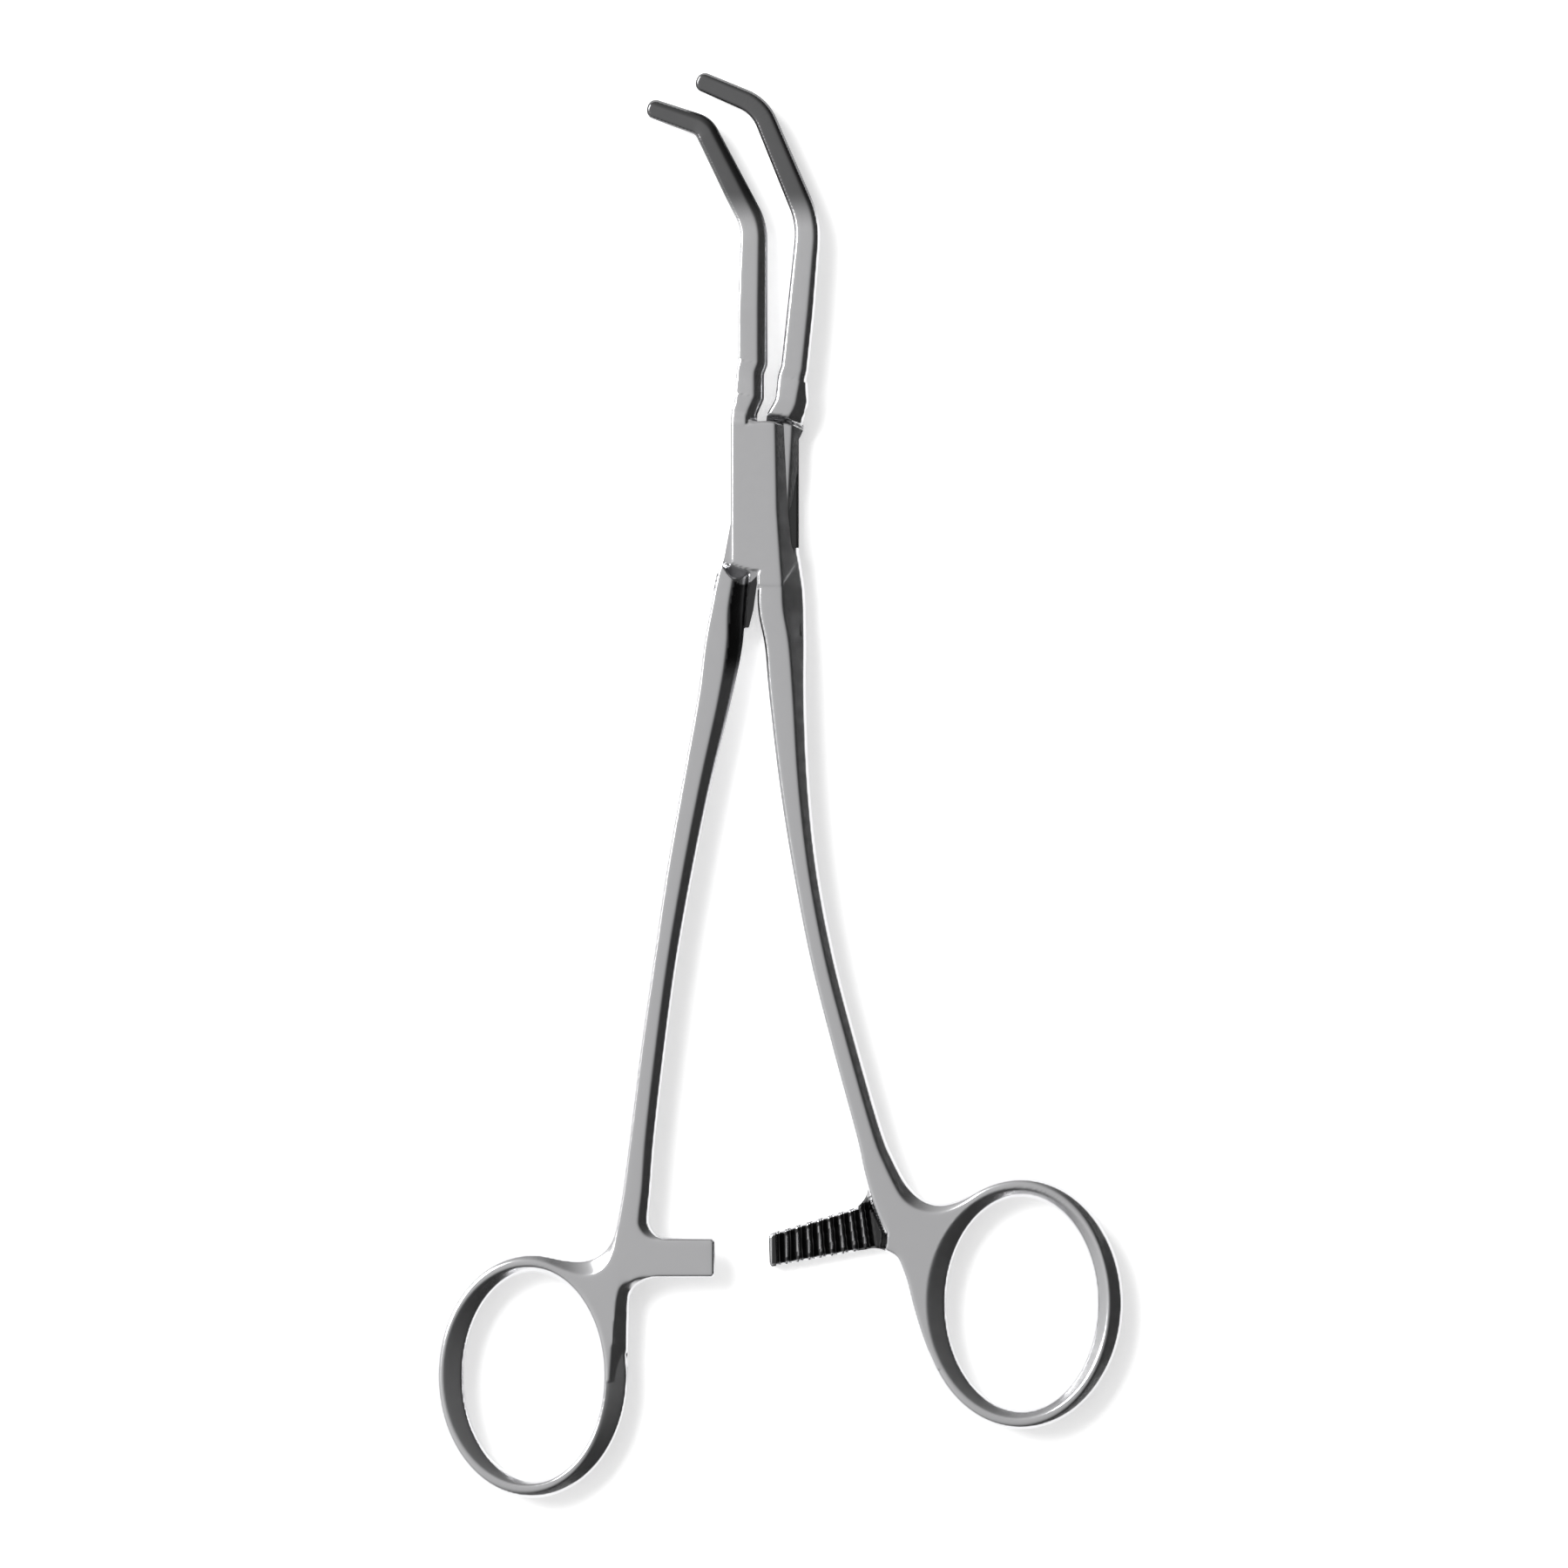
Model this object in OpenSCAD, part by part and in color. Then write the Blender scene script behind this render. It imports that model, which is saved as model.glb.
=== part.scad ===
/* [Box lock] */
// Thickness of the box lock, front face to back face
box_thick = 5.4; // [5:0.1:6.2]
// Width of the cheeks that hold the tang
cheek_width = 8.6; // [8.4:0.1:9.2]
// Thickness of each cheek
cheek_thick = 1.7; // [1.5:0.05:1.9]
// Radius of the round cheek ends, about the pivot
cheek_r = 9.5; // [9.4:0.05:9.7]
// Play between the tang and each cheek
tang_play = 0.1; // [0.06:0.01:0.14]
// Gap between the round cheek ends and the shoulders of the tang half
shoulder_play = 0.15; // [0.1:0.01:0.2]
// Width of the sloping shoulder face, seen from the front
shoulder_slope = 0.9; // [0.6:0.1:1.2]
// Width of the long bevel on the front cheek
cheek_bevel = 2; // [1.6:0.1:2.2]
// Radius of the pivot pin
pin_r = 1.6; // [1.3:0.05:1.8]
// Running clearance between the pin and the tang
pin_play = 0.05; // [0.03:0.01:0.08]

/* [Jaws] */
// Angle by which the jaws stand open as drawn
open_angle = 6; // [5.8:0.1:7]
// Height above the pivot where the gripping faces begin
grip_start = 16.6; // [16:0.2:18]
// Straight lower length of each gripping face
grip_low = 17.9; // [16:0.2:20]
// Length of the middle part of each gripping face
grip_mid = 15.05; // [14:0.2:17]
// Length of the gripping face beyond the last bend
grip_tip = 8.1; // [7:0.2:10]
// Turn of the first bend
bend_low = 27.9; // [24:0.5:32]
// Turn of the second bend
bend_high = 44.1; // [38:0.5:50]
// Radius of the first bend, on the gripping face
bend_low_r = 9; // [6:0.5:12]
// Radius of the second bend, on the gripping face
bend_high_r = 4; // [3:0.5:6]
// Width of a jaw at the start of its gripping face
jaw_width = 3.85; // [3.5:0.05:4.1]
// Width of a jaw at its tip
jaw_tip_width = 2.4; // [2:0.1:3]
// Thickness of a jaw at the start of its gripping face
jaw_thick = 4; // [3.6:0.1:4.6]
// Thickness of a jaw at its tip
jaw_tip_thick = 2; // [1.6:0.1:2.6]

/* [Shanks] */
// Distance from the pivot down to the ratchet bars
shank_length = 94.8; // [90:0.5:110]
// Width of the shanks at their slimmest
shank_width = 3.1; // [2.8:0.05:3.6]
// Thickness of the finger rings and of the shanks beside them
ring_thick = 4.9; // [4.6:0.1:5.2]

/* [Finger rings] */
// Width of the opening in the left ring
left_bore_w = 17.4; // [16:0.2:20]
// Length of the opening in the left ring
left_bore_h = 26; // [24:0.5:30]
// Width of the opening in the right ring
right_bore_w = 19; // [17:0.2:21]
// Length of the opening in the right ring
right_bore_h = 26.8; // [24:0.5:30]
// Width of the ring's band at its sides
band_side = 3.3; // [2.8:0.1:3.8]
// Width of the ring's band at its top and bottom
band_end = 2.4; // [2:0.1:3]

/* [Ratchet] */
// Length of the front bar, from its shank to its end
bar_front = 8.4; // [7:0.1:10]
// Length of the rear bar, from its shank to its end
bar_rear = 12.4; // [11:0.1:14]
// Width of the bars at their ends
bar_width = 4.2; // [3.6:0.1:5]
// Distance from one tooth to the next
tooth_pitch = 1.42; // [1.2:0.02:1.6]
// Depth of the teeth
tooth_depth = 0.9; // [0.6:0.05:1.1]
// Flat land on top of each tooth
tooth_land = 0.3; // [0.2:0.05:0.4]
// Gap between the two rows of teeth as they pass
tooth_gap = 0.1; // [0.06:0.01:0.2]

/* [Hidden] */
$fn = 64;

steel_front = "lightsteelblue";
steel_back = "silver";
steel_pin = "dimgray";

mid_z = box_thick / 2;
tang_low = cheek_thick + tang_play;
tang_high = box_thick - cheek_thick - tang_play;
slot_high = box_thick - cheek_thick;
half_cheek = cheek_width / 2;
shoulder_r = cheek_r + shoulder_play;
closed_tan = tan(open_angle);

// Small step that keeps two joined faces from lying in one plane
seat = 0.03;

// Rules for curves through a few points

function knot(rows, i) =
    i < 0 ? 2 * rows[0] - rows[1]
    : i >= len(rows) ? 2 * rows[len(rows) - 1] - rows[len(rows) - 2]
    : rows[i];

function between(a, b, c, d, t) =
    0.5 * (2 * b + (c - a) * t + (2 * a - 5 * b + 4 * c - d) * t * t
    + (3 * b - a - 3 * c + d) * t * t * t);

function smooth(rows, steps) = concat(
    [for (i = [0:len(rows) - 2], s = [0:steps - 1])
        between(knot(rows, i - 1), rows[i], rows[i + 1], knot(rows, i + 2), s / steps)],
    [rows[len(rows) - 1]]);

function lerp(a, b, t) = a + (b - a) * t;

// A limb is a row of bevelled sections. Each row holds the place x and y,
// the reach to the left and to the right, the low and high faces,
// and the bevel widths on the left and on the right.

function heading(rows, i) =
    let (a = rows[max(i - 1, 0)], b = rows[min(i + 1, len(rows) - 1)])
    let (d = [b[0] - a[0], b[1] - a[1]])
    d / norm(d);

bevel_fall = 0.85;
bevel_keep = 0.35;

function fall(bevel, low, high) = min(bevel * bevel_fall, (high - low) / 2 - bevel_keep);

function section(row, d) =
    let (n = [-d[1], d[0]], low = row[4], high = row[5])
    let (fl = fall(row[6], low, high), fr = fall(row[7], low, high))
    [for (q = [
        [row[2], low + fl],
        [row[2] - row[6], low],
        [row[7] - row[3], low],
        [-row[3], low + fr],
        [-row[3], high - fr],
        [row[7] - row[3], high],
        [row[2] - row[6], high],
        [row[2], high - fl]])
        [row[0] + n[0] * q[0], row[1] + n[1] * q[0], q[1]]];

SIDES = 8;

module limb(rows) {
    last = len(rows) - 1;
    points = [for (i = [0:last]) each section(rows[i], heading(rows, i))];
    skin = [for (i = [0:last - 1], j = [0:SIDES - 1])
        let (a = i * SIDES + j, b = i * SIDES + (j + 1) % SIDES)
        each [[a, b, b + SIDES], [a, b + SIDES, a + SIDES]]];
    root = [[for (j = [SIDES - 1:-1:0]) j]];
    end = [[for (j = [0:SIDES - 1]) last * SIDES + j]];
    polyhedron(points, concat(root, skin, end));
}

// Jaws. The gripping faces of both jaws are one curve when the clamp is shut.
// It runs up, then turns to the left twice.

grip_x = 0.35;
root_y = cheek_r + 0.9;
root_x = 0.05 - closed_tan * cheek_r;
neck_y = root_y + 1.9;
neck_x = -0.1;
neck_play = 0.15;
right_jaw_slim = 0.4;

// How far each jaw runs on under its root, into the room between the cheeks.
// The right jaw's wide root leans, so it needs the longer foot.
left_jaw_foot = 1.2;
right_jaw_foot = 2.6;
BEND_STEPS = 6;

low_tangent = bend_low_r * tan(bend_low / 2);
high_tangent = bend_high_r * tan(bend_high / 2);
low_stop = grip_start + grip_low - low_tangent;
low_centre = [grip_x - bend_low_r, low_stop];
low_end = low_centre + bend_low_r * [cos(bend_low), sin(bend_low)];
mid_way = [-sin(bend_low), cos(bend_low)];
mid_stop = low_end + (grip_mid - low_tangent - high_tangent) * mid_way;
high_centre = mid_stop - bend_high_r * [cos(bend_low), sin(bend_low)];
both_bends = bend_low + bend_high;
high_end = high_centre + bend_high_r * [cos(both_bends), sin(both_bends)];
tip_way = [-sin(both_bends), cos(both_bends)];
tip_end = high_end + (grip_tip - high_tangent) * tip_way;
tip_round = 0.45;

// Each point of the gripping curve, with the share of the jaw's length behind it
grip_curve = concat(
    [[grip_x, grip_start, 0], [grip_x, grip_start + grip_low * 0.4, 0.2]],
    [for (i = [0:BEND_STEPS])
        let (a = bend_low * i / BEND_STEPS)
        [low_centre[0] + bend_low_r * cos(a), low_centre[1] + bend_low_r * sin(a),
            0.38 + 0.12 * i / BEND_STEPS]],
    [for (i = [0:BEND_STEPS])
        let (a = bend_low + bend_high * i / BEND_STEPS)
        [high_centre[0] + bend_high_r * cos(a), high_centre[1] + bend_high_r * sin(a),
            0.76 + 0.1 * i / BEND_STEPS]],
    [[tip_end[0] - tip_round * tip_way[0], tip_end[1] - tip_round * tip_way[1], 0.98]]);

function taper(share) = max(0, (share - 0.2) / 0.8);

function jaw_reach(width, share) = lerp(width, jaw_tip_width, taper(share));

function jaw_half(share) = lerp(jaw_thick, jaw_tip_thick, taper(share)) / 2;

function jaw_row(p, near, far, half, inner, outer, side) =
    side > 0 ? [p[0], p[1], far, near, mid_z - half, mid_z + half, outer, inner]
    : [p[0], p[1], near, far, mid_z - half, mid_z + half, inner, outer];

// side is 1 for the jaw on the left of the curve and -1 for the one on its right
function jaw_rows(side, width, inner, outer, shift, root_width, neck_width, foot) = concat(
    [jaw_row([root_x + shift, root_y - foot], 0, root_width, mid_z - 0.3, inner, outer, side),
    jaw_row([root_x + shift, root_y], 0, root_width, mid_z - 0.35, inner, outer, side),
    jaw_row([neck_x + shift, neck_y], 0, neck_width, jaw_thick / 2 + 0.3, inner, outer, side),
    jaw_row([neck_x + shift, grip_start - 1.2], 0, width - neck_x * side - grip_x * side,
        jaw_thick / 2 + 0.1, inner, outer, side)],
    [for (p = grip_curve)
        let (s = 1 - 0.4 * taper(p[2]))
        jaw_row(p, 0, jaw_reach(width, p[2]), jaw_half(p[2]), inner * s, outer * s, side)],
    [jaw_row(tip_end, -tip_round / 2, jaw_tip_width - tip_round / 2,
        jaw_half(1) - tip_round / 2, inner * 0.4, outer * 0.4, side)]);

module left_jaw() {
    limb(jaw_rows(1, jaw_width, 1.3, 0.4, 0, 3.3, 3.9, left_jaw_foot));
}

module right_jaw() {
    rotate(-open_angle)
        limb(jaw_rows(-1, jaw_width - right_jaw_slim, 0.4, 0.9, neck_play, 4.9, 4.2, right_jaw_foot));
}

// Shanks. Each row of a shank holds its centre, its width, the bevel on its left-hand side
// as seen from the front and the bevel on its right-hand side. A shank runs downward,
// so its right-hand side is on the left of its path.

bar_y = -shank_length;

// How far below the round cheek ends each shank starts to slim
left_slim_from = 9.3;
right_slim_from = 9.1;

function share_y(k) = k * bar_y;

function shank_rows(rows, root_half, end_half) =
    let (top = rows[0][1], low = rows[len(rows) - 1][1])
    [for (r = rows)
        let (t = (r[1] - top) / (low - top), m = lerp(mid_z, ring_thick / 2, t))
        let (half = lerp(root_half, end_half, t))
        [r[0], r[1], r[2] / 2, r[2] / 2, m - half, m + half, r[4], r[3]]];

left_centres = [
    [-3.95, 0.6 - cheek_r, 3.5, 0.5, 1.9],
    [-4.15, -0.8 - cheek_r, 3.95, 0.5, 1.9],
    [-4.68, -4.7 - cheek_r, 4.44, 0.5, 2.2],
    [-5.3, -left_slim_from - cheek_r, 4.9, 0.6, 2],
    [-6.38, share_y(0.266), 4.4, 0.8, 1.65],
    [-8.69, share_y(0.382), shank_width + 0.65, 0.8, 1.4],
    [-10.78, share_y(0.498), shank_width + 0.35, 0.8, 1.3],
    [-12.54, share_y(0.614), shank_width, 0.7, 1.25],
    [-14.08, share_y(0.73), shank_width + 0.1, 0.6, 1.25],
    [-15.4, share_y(0.846), shank_width + 0.2, 0.6, 1.25],
    [-16.1, share_y(0.916), shank_width + 0.5, 0.5, 1],
    [-16.5, share_y(0.949), shank_width + 0.7, 0.4, 0.6],
    [-17, share_y(0.992), shank_width + 1.4, 0.4, 0.4],
    [-17.7, share_y(1.03), shank_width + 1.7, 0.4, 0.4],
    [-19.9, share_y(1.082), shank_width - 0.2, 0.4, 0.4]];

right_centres = [
    [2.4, 1.3 - cheek_r, 4.4, 0.35, 2.85],
    [2.05, -1.5 - cheek_r, 5.9, 0.35, 2.9],
    [2.15, -4.7 - cheek_r, 6.05, 0.35, 2.9],
    [2.6, -right_slim_from - cheek_r, 5.2, 0.4, 2.2],
    [2.87, share_y(0.266), 4.6, 0.5, 1.65],
    [3.74, share_y(0.382), shank_width + 0.65, 0.5, 1.4],
    [5.17, share_y(0.498), shank_width + 0.05, 0.5, 1.25],
    [7.26, share_y(0.614), shank_width, 0.5, 1.25],
    [10.07, share_y(0.73), shank_width + 0.1, 0.5, 1.25],
    [13.15, share_y(0.846), shank_width + 0.3, 0.5, 1.2],
    [14.5, share_y(0.892), shank_width + 1.1, 0.4, 1.1],
    [16.3, share_y(0.939), shank_width + 2, 0.4, 0.7],
    [18.6, share_y(0.986), shank_width + 2.2, 0.4, 0.4],
    [21.1, share_y(1.045), shank_width + 0.2, 0.4, 0.4]];

SHANK_STEPS = 4;
left_rows = smooth(shank_rows(left_centres, mid_z - seat, ring_thick / 2 - seat), SHANK_STEPS);
right_rows = smooth(shank_rows(right_centres, mid_z - seat, ring_thick / 2 - seat), SHANK_STEPS);

// Finger rings. The band is a closed row of bevelled sections
// between an inner and an outer ellipse.

left_shank_out = 17.3;
left_ring_drop = 0.5;
left_ring = [-left_shank_out - band_side - left_bore_w / 2,
    bar_y - left_ring_drop - band_end - left_bore_h / 2];
right_shank_out = 19.5;
right_ring_rise = 9;
right_ring = [right_shank_out + band_side + right_bore_w / 2,
    bar_y + right_ring_rise - band_end - right_bore_h / 2];
RING_STEPS = 64;
ring_bevel = 0.3;
ring_fall = 1.3;
flat_share = 0.36;

function ring_point(c, w, h, angle, share, z) = [
    c[0] + (w / 2 + band_side * share) * cos(angle),
    c[1] + (h / 2 + band_end * share) * sin(angle),
    z];

module finger_ring(c, w, h) {
    band = [
        [0, ring_fall],
        [ring_bevel, 0],
        [1 - ring_bevel, 0],
        [1, ring_fall],
        [1, ring_thick - ring_fall],
        [1 - ring_bevel, ring_thick],
        [ring_bevel, ring_thick],
        [0, ring_thick - ring_fall]];
    points = [for (i = [0:RING_STEPS - 1], q = band)
        ring_point(c, w, h, 360 * i / RING_STEPS, q[0], q[1])];
    skin = [for (i = [0:RING_STEPS - 1], j = [0:SIDES - 1])
        let (n = (i + 1) % RING_STEPS, k = (j + 1) % SIDES)
        let (a = i * SIDES + j, b = i * SIDES + k, c = n * SIDES + k, d = n * SIDES + j)
        each [[a, b, c], [a, c, d]]];
    polyhedron(points, skin);
}

module ellipse(c, w, h, share) {
    translate(c)
        scale([w / 2 + band_side * share, h / 2 + band_end * share])
            circle(1);
}

// Yokes. A yoke joins a shank, a finger ring and a ratchet bar in one flat web.

crotch_r = 3.6;
bar_corner_r = 1.8;
YOKE_FROM = 36;

function flat_left(r, d) = [r[0] - d[1] * (r[2] - r[6] - seat), r[1] + d[0] * (r[2] - r[6] - seat)];

function flat_right(r, d) = [r[0] + d[1] * (r[3] - r[7] - seat), r[1] - d[0] * (r[3] - r[7] - seat)];

module shank_flat(rows) {
    last = len(rows) - 1;
    polygon(concat(
        [for (i = [YOKE_FROM:last]) flat_left(rows[i], heading(rows, i))],
        [for (i = [last:-1:YOKE_FROM]) flat_right(rows[i], heading(rows, i))]));
}

module filled_corners(r) {
    offset(r = -r)
        offset(r = r)
            children();
}

module yoke_plan(rows, c, w, h) {
    difference() {
        union() {
            filled_corners(crotch_r) {
                shank_flat(rows);
                ellipse(c, w, h, 1 - flat_share);
            }
            filled_corners(bar_corner_r) {
                shank_flat(rows);
                ellipse(c, w, h, 1 - flat_share);
                children();
            }
        }
        ellipse(c, w, h, flat_share);
    }
}

module web() {
    translate([0, 0, 2 * seat])
        linear_extrude(ring_thick - 4 * seat)
            children();
}

// Ratchet bars. The front bar belongs to the tang half and its teeth face back.
// The rear bar belongs to the box half and its teeth face the front.

front_face = ring_thick / 2 + tooth_gap / 2;
rear_face = ring_thick / 2 - tooth_gap / 2;
front_bar_y = bar_y - 1.05;
rear_bar_y = bar_y - 0.15;
front_root_x = -14.7;
rear_root_x = 12.9;
bar_spread = 0.35;
bar_rise = 3;
bar_chamfer = 0.35;
front_scoop = [-6, front_bar_y];
front_scoop_r = 8.6;
rear_scoop = [5.8, bar_y + 2.2];
rear_scoop_r = 9;
steep_run = 0.2;
groove_over = 0.08;
groove_length = bar_width + 3.4;
groove_shift = 0.9;

module front_bar_plan() {
    end_x = front_root_x + bar_front;
    half = bar_width / 2 + bar_spread;
    polygon([
        [front_root_x - 2, front_bar_y - half],
        [end_x - bar_chamfer, front_bar_y - half],
        [end_x, front_bar_y + bar_chamfer - half],
        [end_x, front_bar_y + half - bar_chamfer],
        [end_x - bar_chamfer, front_bar_y + half],
        [front_root_x - 2, front_bar_y + half]]);
}

module rear_bar_plan() {
    end_x = rear_root_x - bar_rear;
    half = bar_width / 2;
    root = [rear_root_x, rear_bar_y + bar_rise];
    polygon([
        [end_x, rear_bar_y + half - bar_chamfer],
        [end_x + 0.1, rear_bar_y + bar_chamfer - half],
        [end_x + bar_chamfer, rear_bar_y - half],
        root + [2.6, -half - bar_spread],
        root + [2.6, 0],
        root + [0, half + bar_spread * 2],
        [end_x + bar_chamfer, rear_bar_y + half]]);
}

tooth_angle = atan(tooth_pitch / shank_length);
FRONT_TEETH = 4;
REAR_TEETH = 8;
rear_first = atan(2.8 / shank_length);
front_first = atan((front_root_x + bar_front - 0.9) / shank_length);

// One groove between two teeth, steep on one side and sloping on the other.
// It opens a little past the face, so that no wall ends in the plane of the face.
module groove(angle, face, depth) {
    open_share = 1 + groove_over;
    half = (tooth_pitch - tooth_land) / 2;
    root = steep_run - half;
    rotate(angle)
        translate([0, groove_length / 2 - shank_length + groove_shift, 0])
            rotate([90, 0, 0])
                linear_extrude(groove_length)
                    polygon([
                        [root, face - depth],
                        [root + (half - root) * open_share, face + depth * groove_over],
                        [root - steep_run * open_share, face + depth * groove_over]]);
}

module rear_grooves() {
    for (k = [0:REAR_TEETH])
        groove(rear_first + tooth_angle * (k - 0.5), rear_face, tooth_depth);
}

module front_grooves() {
    for (k = [0:FRONT_TEETH])
        groove(front_first - tooth_angle * k, front_face, -tooth_depth);
}

// Box lock. The slot leaves room for the tang over its whole swing.

slot_wall_x = 3;
slot_wall_y = 6.6;
slot_side_y = 6.2;
slot_out = half_cheek + 1.5;
cheek_inset = 0.4;
shank_bevel_room = 2.1;
crotch_low = cheek_r + 7.4;

module slot_plan() {
    polygon([
        [slot_out, -slot_side_y],
        [slot_out, root_y + 0.4],
        [root_x, root_y + 0.4],
        [root_x, root_y - 0.4],
        [-slot_wall_x, slot_wall_y],
        [-slot_out, slot_side_y],
        [-slot_out, -crotch_low],
        [-0.15, -crotch_low],
        [0.3, 2.6 - crotch_low],
        [1.1, -root_y + 0.2],
        [slot_wall_x, -slot_wall_y]]);
}

module box_plan() {
    intersection() {
        circle(cheek_r);
        square([cheek_width, 3 * cheek_r], center = true);
    }
    polygon([
        [-half_cheek, 5],
        [-1.6, 5],
        [root_x, root_y - 0.6],
        [root_x, root_y + 0.2],
        [-half_cheek + 0.1, root_y + 0.2],
        [-half_cheek, root_y - 0.6]]);
    polygon([
        [half_cheek - cheek_inset, -4],
        [1.6, -5],
        [-1, 0.7 - root_y],
        [-0.97, -1 - root_y],
        [half_cheek - shank_bevel_room, -1 - root_y],
        [half_cheek - cheek_inset, -cheek_r + 0.6]]);
}

// The long bevel along the front cheek's right-hand edge
module long_bevel() {
    fall_z = slot_high;
    flat_x = 1.2;
    reach = 3 * cheek_bevel;
    end_y = root_y + 1;
    slope = (box_thick - fall_z) / cheek_bevel;
    translate([flat_x, 0, 0])
        rotate(1.75)
            translate([0, end_y, 0])
                rotate([90, 0, 0])
                    linear_extrude(2 * end_y)
                        polygon([
                            [-1, box_thick + slope],
                            [reach, box_thick - reach * slope],
                            [reach, box_thick + slope]]);
}

module box_half() {
    color(steel_back) {
        difference() {
            union() {
                difference() {
                    linear_extrude(box_thick)
                        box_plan();
                    long_bevel();
                }
                limb(right_rows);
            }
            translate([0, 0, cheek_thick])
                linear_extrude(slot_high - cheek_thick)
                    slot_plan();
            translate([0, 0, -1])
                cylinder(r = pin_r, h = box_thick + 2);
        }
        left_jaw();
        finger_ring(right_ring, right_bore_w, right_bore_h);
        difference() {
            web()
                yoke_plan(right_rows, right_ring, right_bore_w, right_bore_h)
                    rear_bar_plan();
            translate([rear_scoop[0], rear_scoop[1], rear_face])
                cylinder(r = rear_scoop_r, h = ring_thick);
            rear_grooves();
        }
    }
}

// Tang half. Its full thickness starts outside the round cheek ends.

tang_hip = [-5.1, -7.6];

module tang_plan() {
    polygon([
        [-0.9, -root_y],
        [1.3, -5],
        [3.3, -1.2],
        [4.1, 3.2],
        [4.4, cheek_r - 0.2],
        [4.8, root_y],
        [0.45, root_y],
        [-1.3, 5],
        [-3.3, 1.2],
        [-4.3, -3.2],
        tang_hip,
        [-5.8, -root_y],
        [-4.5, -crotch_low + 0.4],
        [-2, -crotch_low + 0.4],
        [-1.43, 2.7 - crotch_low]]);
}

module shoulder_room() {
    rotate_extrude()
        polygon([
            [0, tang_high],
            [shoulder_r, tang_high],
            [shoulder_r + shoulder_slope, box_thick],
            [shoulder_r + shoulder_slope, box_thick + 1],
            [0, box_thick + 1]]);
    rotate_extrude()
        polygon([
            [0, -1],
            [shoulder_r + shoulder_slope, -1],
            [shoulder_r + shoulder_slope, 0],
            [shoulder_r, tang_low],
            [0, tang_low]]);
}

module tang_half() {
    color(steel_front) {
        difference() {
            union() {
                difference() {
                    limb(left_rows);
                    shoulder_room();
                }
                difference() {
                    right_jaw();
                    shoulder_room();
                }
                translate([0, 0, tang_low])
                    linear_extrude(tang_high - tang_low)
                        tang_plan();
            }
            translate([0, 0, -1])
                cylinder(r = pin_r + pin_play, h = box_thick + 2);
        }
        finger_ring(left_ring, left_bore_w, left_bore_h);
        difference() {
            web()
                yoke_plan(left_rows, left_ring, left_bore_w, left_bore_h)
                    front_bar_plan();
            translate([front_scoop[0], front_scoop[1], -1])
                cylinder(r = front_scoop_r, h = front_face + 1);
            front_grooves();
        }
    }
}

module pivot_pin() {
    color(steel_pin)
        cylinder(r = pin_r, h = box_thick);
}

box_half();
tang_half();
pivot_pin();
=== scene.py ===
# %% [markdown]
# A vascular clamp, finished in Blender
#
# The clamp has two steel halves that cross in a box lock: the thin tang of one
# half swings in a slot through the other, on a riveted pin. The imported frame
# gives every piece its place and its joint. This lesson gives the two halves
# their ground and polished surfaces, one steel, soft light and a camera that
# looks straight down, as in a catalogue picture.

# %% Load the frame
from math import atan, radians, tan

import bpy
import numpy as np
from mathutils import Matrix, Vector


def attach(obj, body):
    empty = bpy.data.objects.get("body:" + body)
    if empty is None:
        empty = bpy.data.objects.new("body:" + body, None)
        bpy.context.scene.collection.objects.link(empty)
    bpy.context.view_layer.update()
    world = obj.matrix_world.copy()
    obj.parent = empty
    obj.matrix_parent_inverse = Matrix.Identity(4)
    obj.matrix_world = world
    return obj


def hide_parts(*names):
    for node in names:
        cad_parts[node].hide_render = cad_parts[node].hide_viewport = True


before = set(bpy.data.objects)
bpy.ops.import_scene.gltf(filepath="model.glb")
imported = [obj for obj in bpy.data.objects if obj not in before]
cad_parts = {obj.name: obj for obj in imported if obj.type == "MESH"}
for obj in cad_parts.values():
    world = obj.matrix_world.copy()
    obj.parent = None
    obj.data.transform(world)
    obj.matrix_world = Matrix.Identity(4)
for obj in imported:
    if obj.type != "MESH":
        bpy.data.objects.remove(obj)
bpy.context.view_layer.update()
MM = 0.001

# %% [markdown]
# The camera comes first, because everything else is judged through it.
# The picture is square and its long lens looks straight down, so a pixel of it
# is a fixed length on the table. A lens far away keeps the limbs from leaning.
# The Standard view shows each colour as it was written, so white stays white.

# %% Camera
PIXELS = 1800
PIXEL_MM = 0.11
PIVOT_PIXEL = (878, 571)
CAMERA_HEIGHT_MM = 1500.0
SENSOR_MM = 36.0

view_width = PIXELS * PIXEL_MM
view_x = (PIXELS / 2 - PIVOT_PIXEL[0]) * PIXEL_MM
view_y = (PIVOT_PIXEL[1] - PIXELS / 2) * PIXEL_MM
lens = bpy.data.cameras.new("overhead_lens")
lens.sensor_width = SENSOR_MM
lens.lens = SENSOR_MM * CAMERA_HEIGHT_MM / view_width
lens.clip_end = 10.0
camera = bpy.data.objects.new("overhead_camera", lens)
camera.location = (view_x * MM, view_y * MM, CAMERA_HEIGHT_MM * MM)
bpy.context.scene.collection.objects.link(camera)
bpy.context.scene.camera = camera
bpy.context.scene.view_settings.view_transform = "Standard"
print(f"camera looks down on ({view_x:.1f}, {view_y:.1f}) mm, {view_width:.0f} mm wide")

# %% [markdown]
# Sizes. They repeat the driving sizes of the solid model, in millimetres,
# because the finished surfaces have to sit exactly where the solids are.

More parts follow.
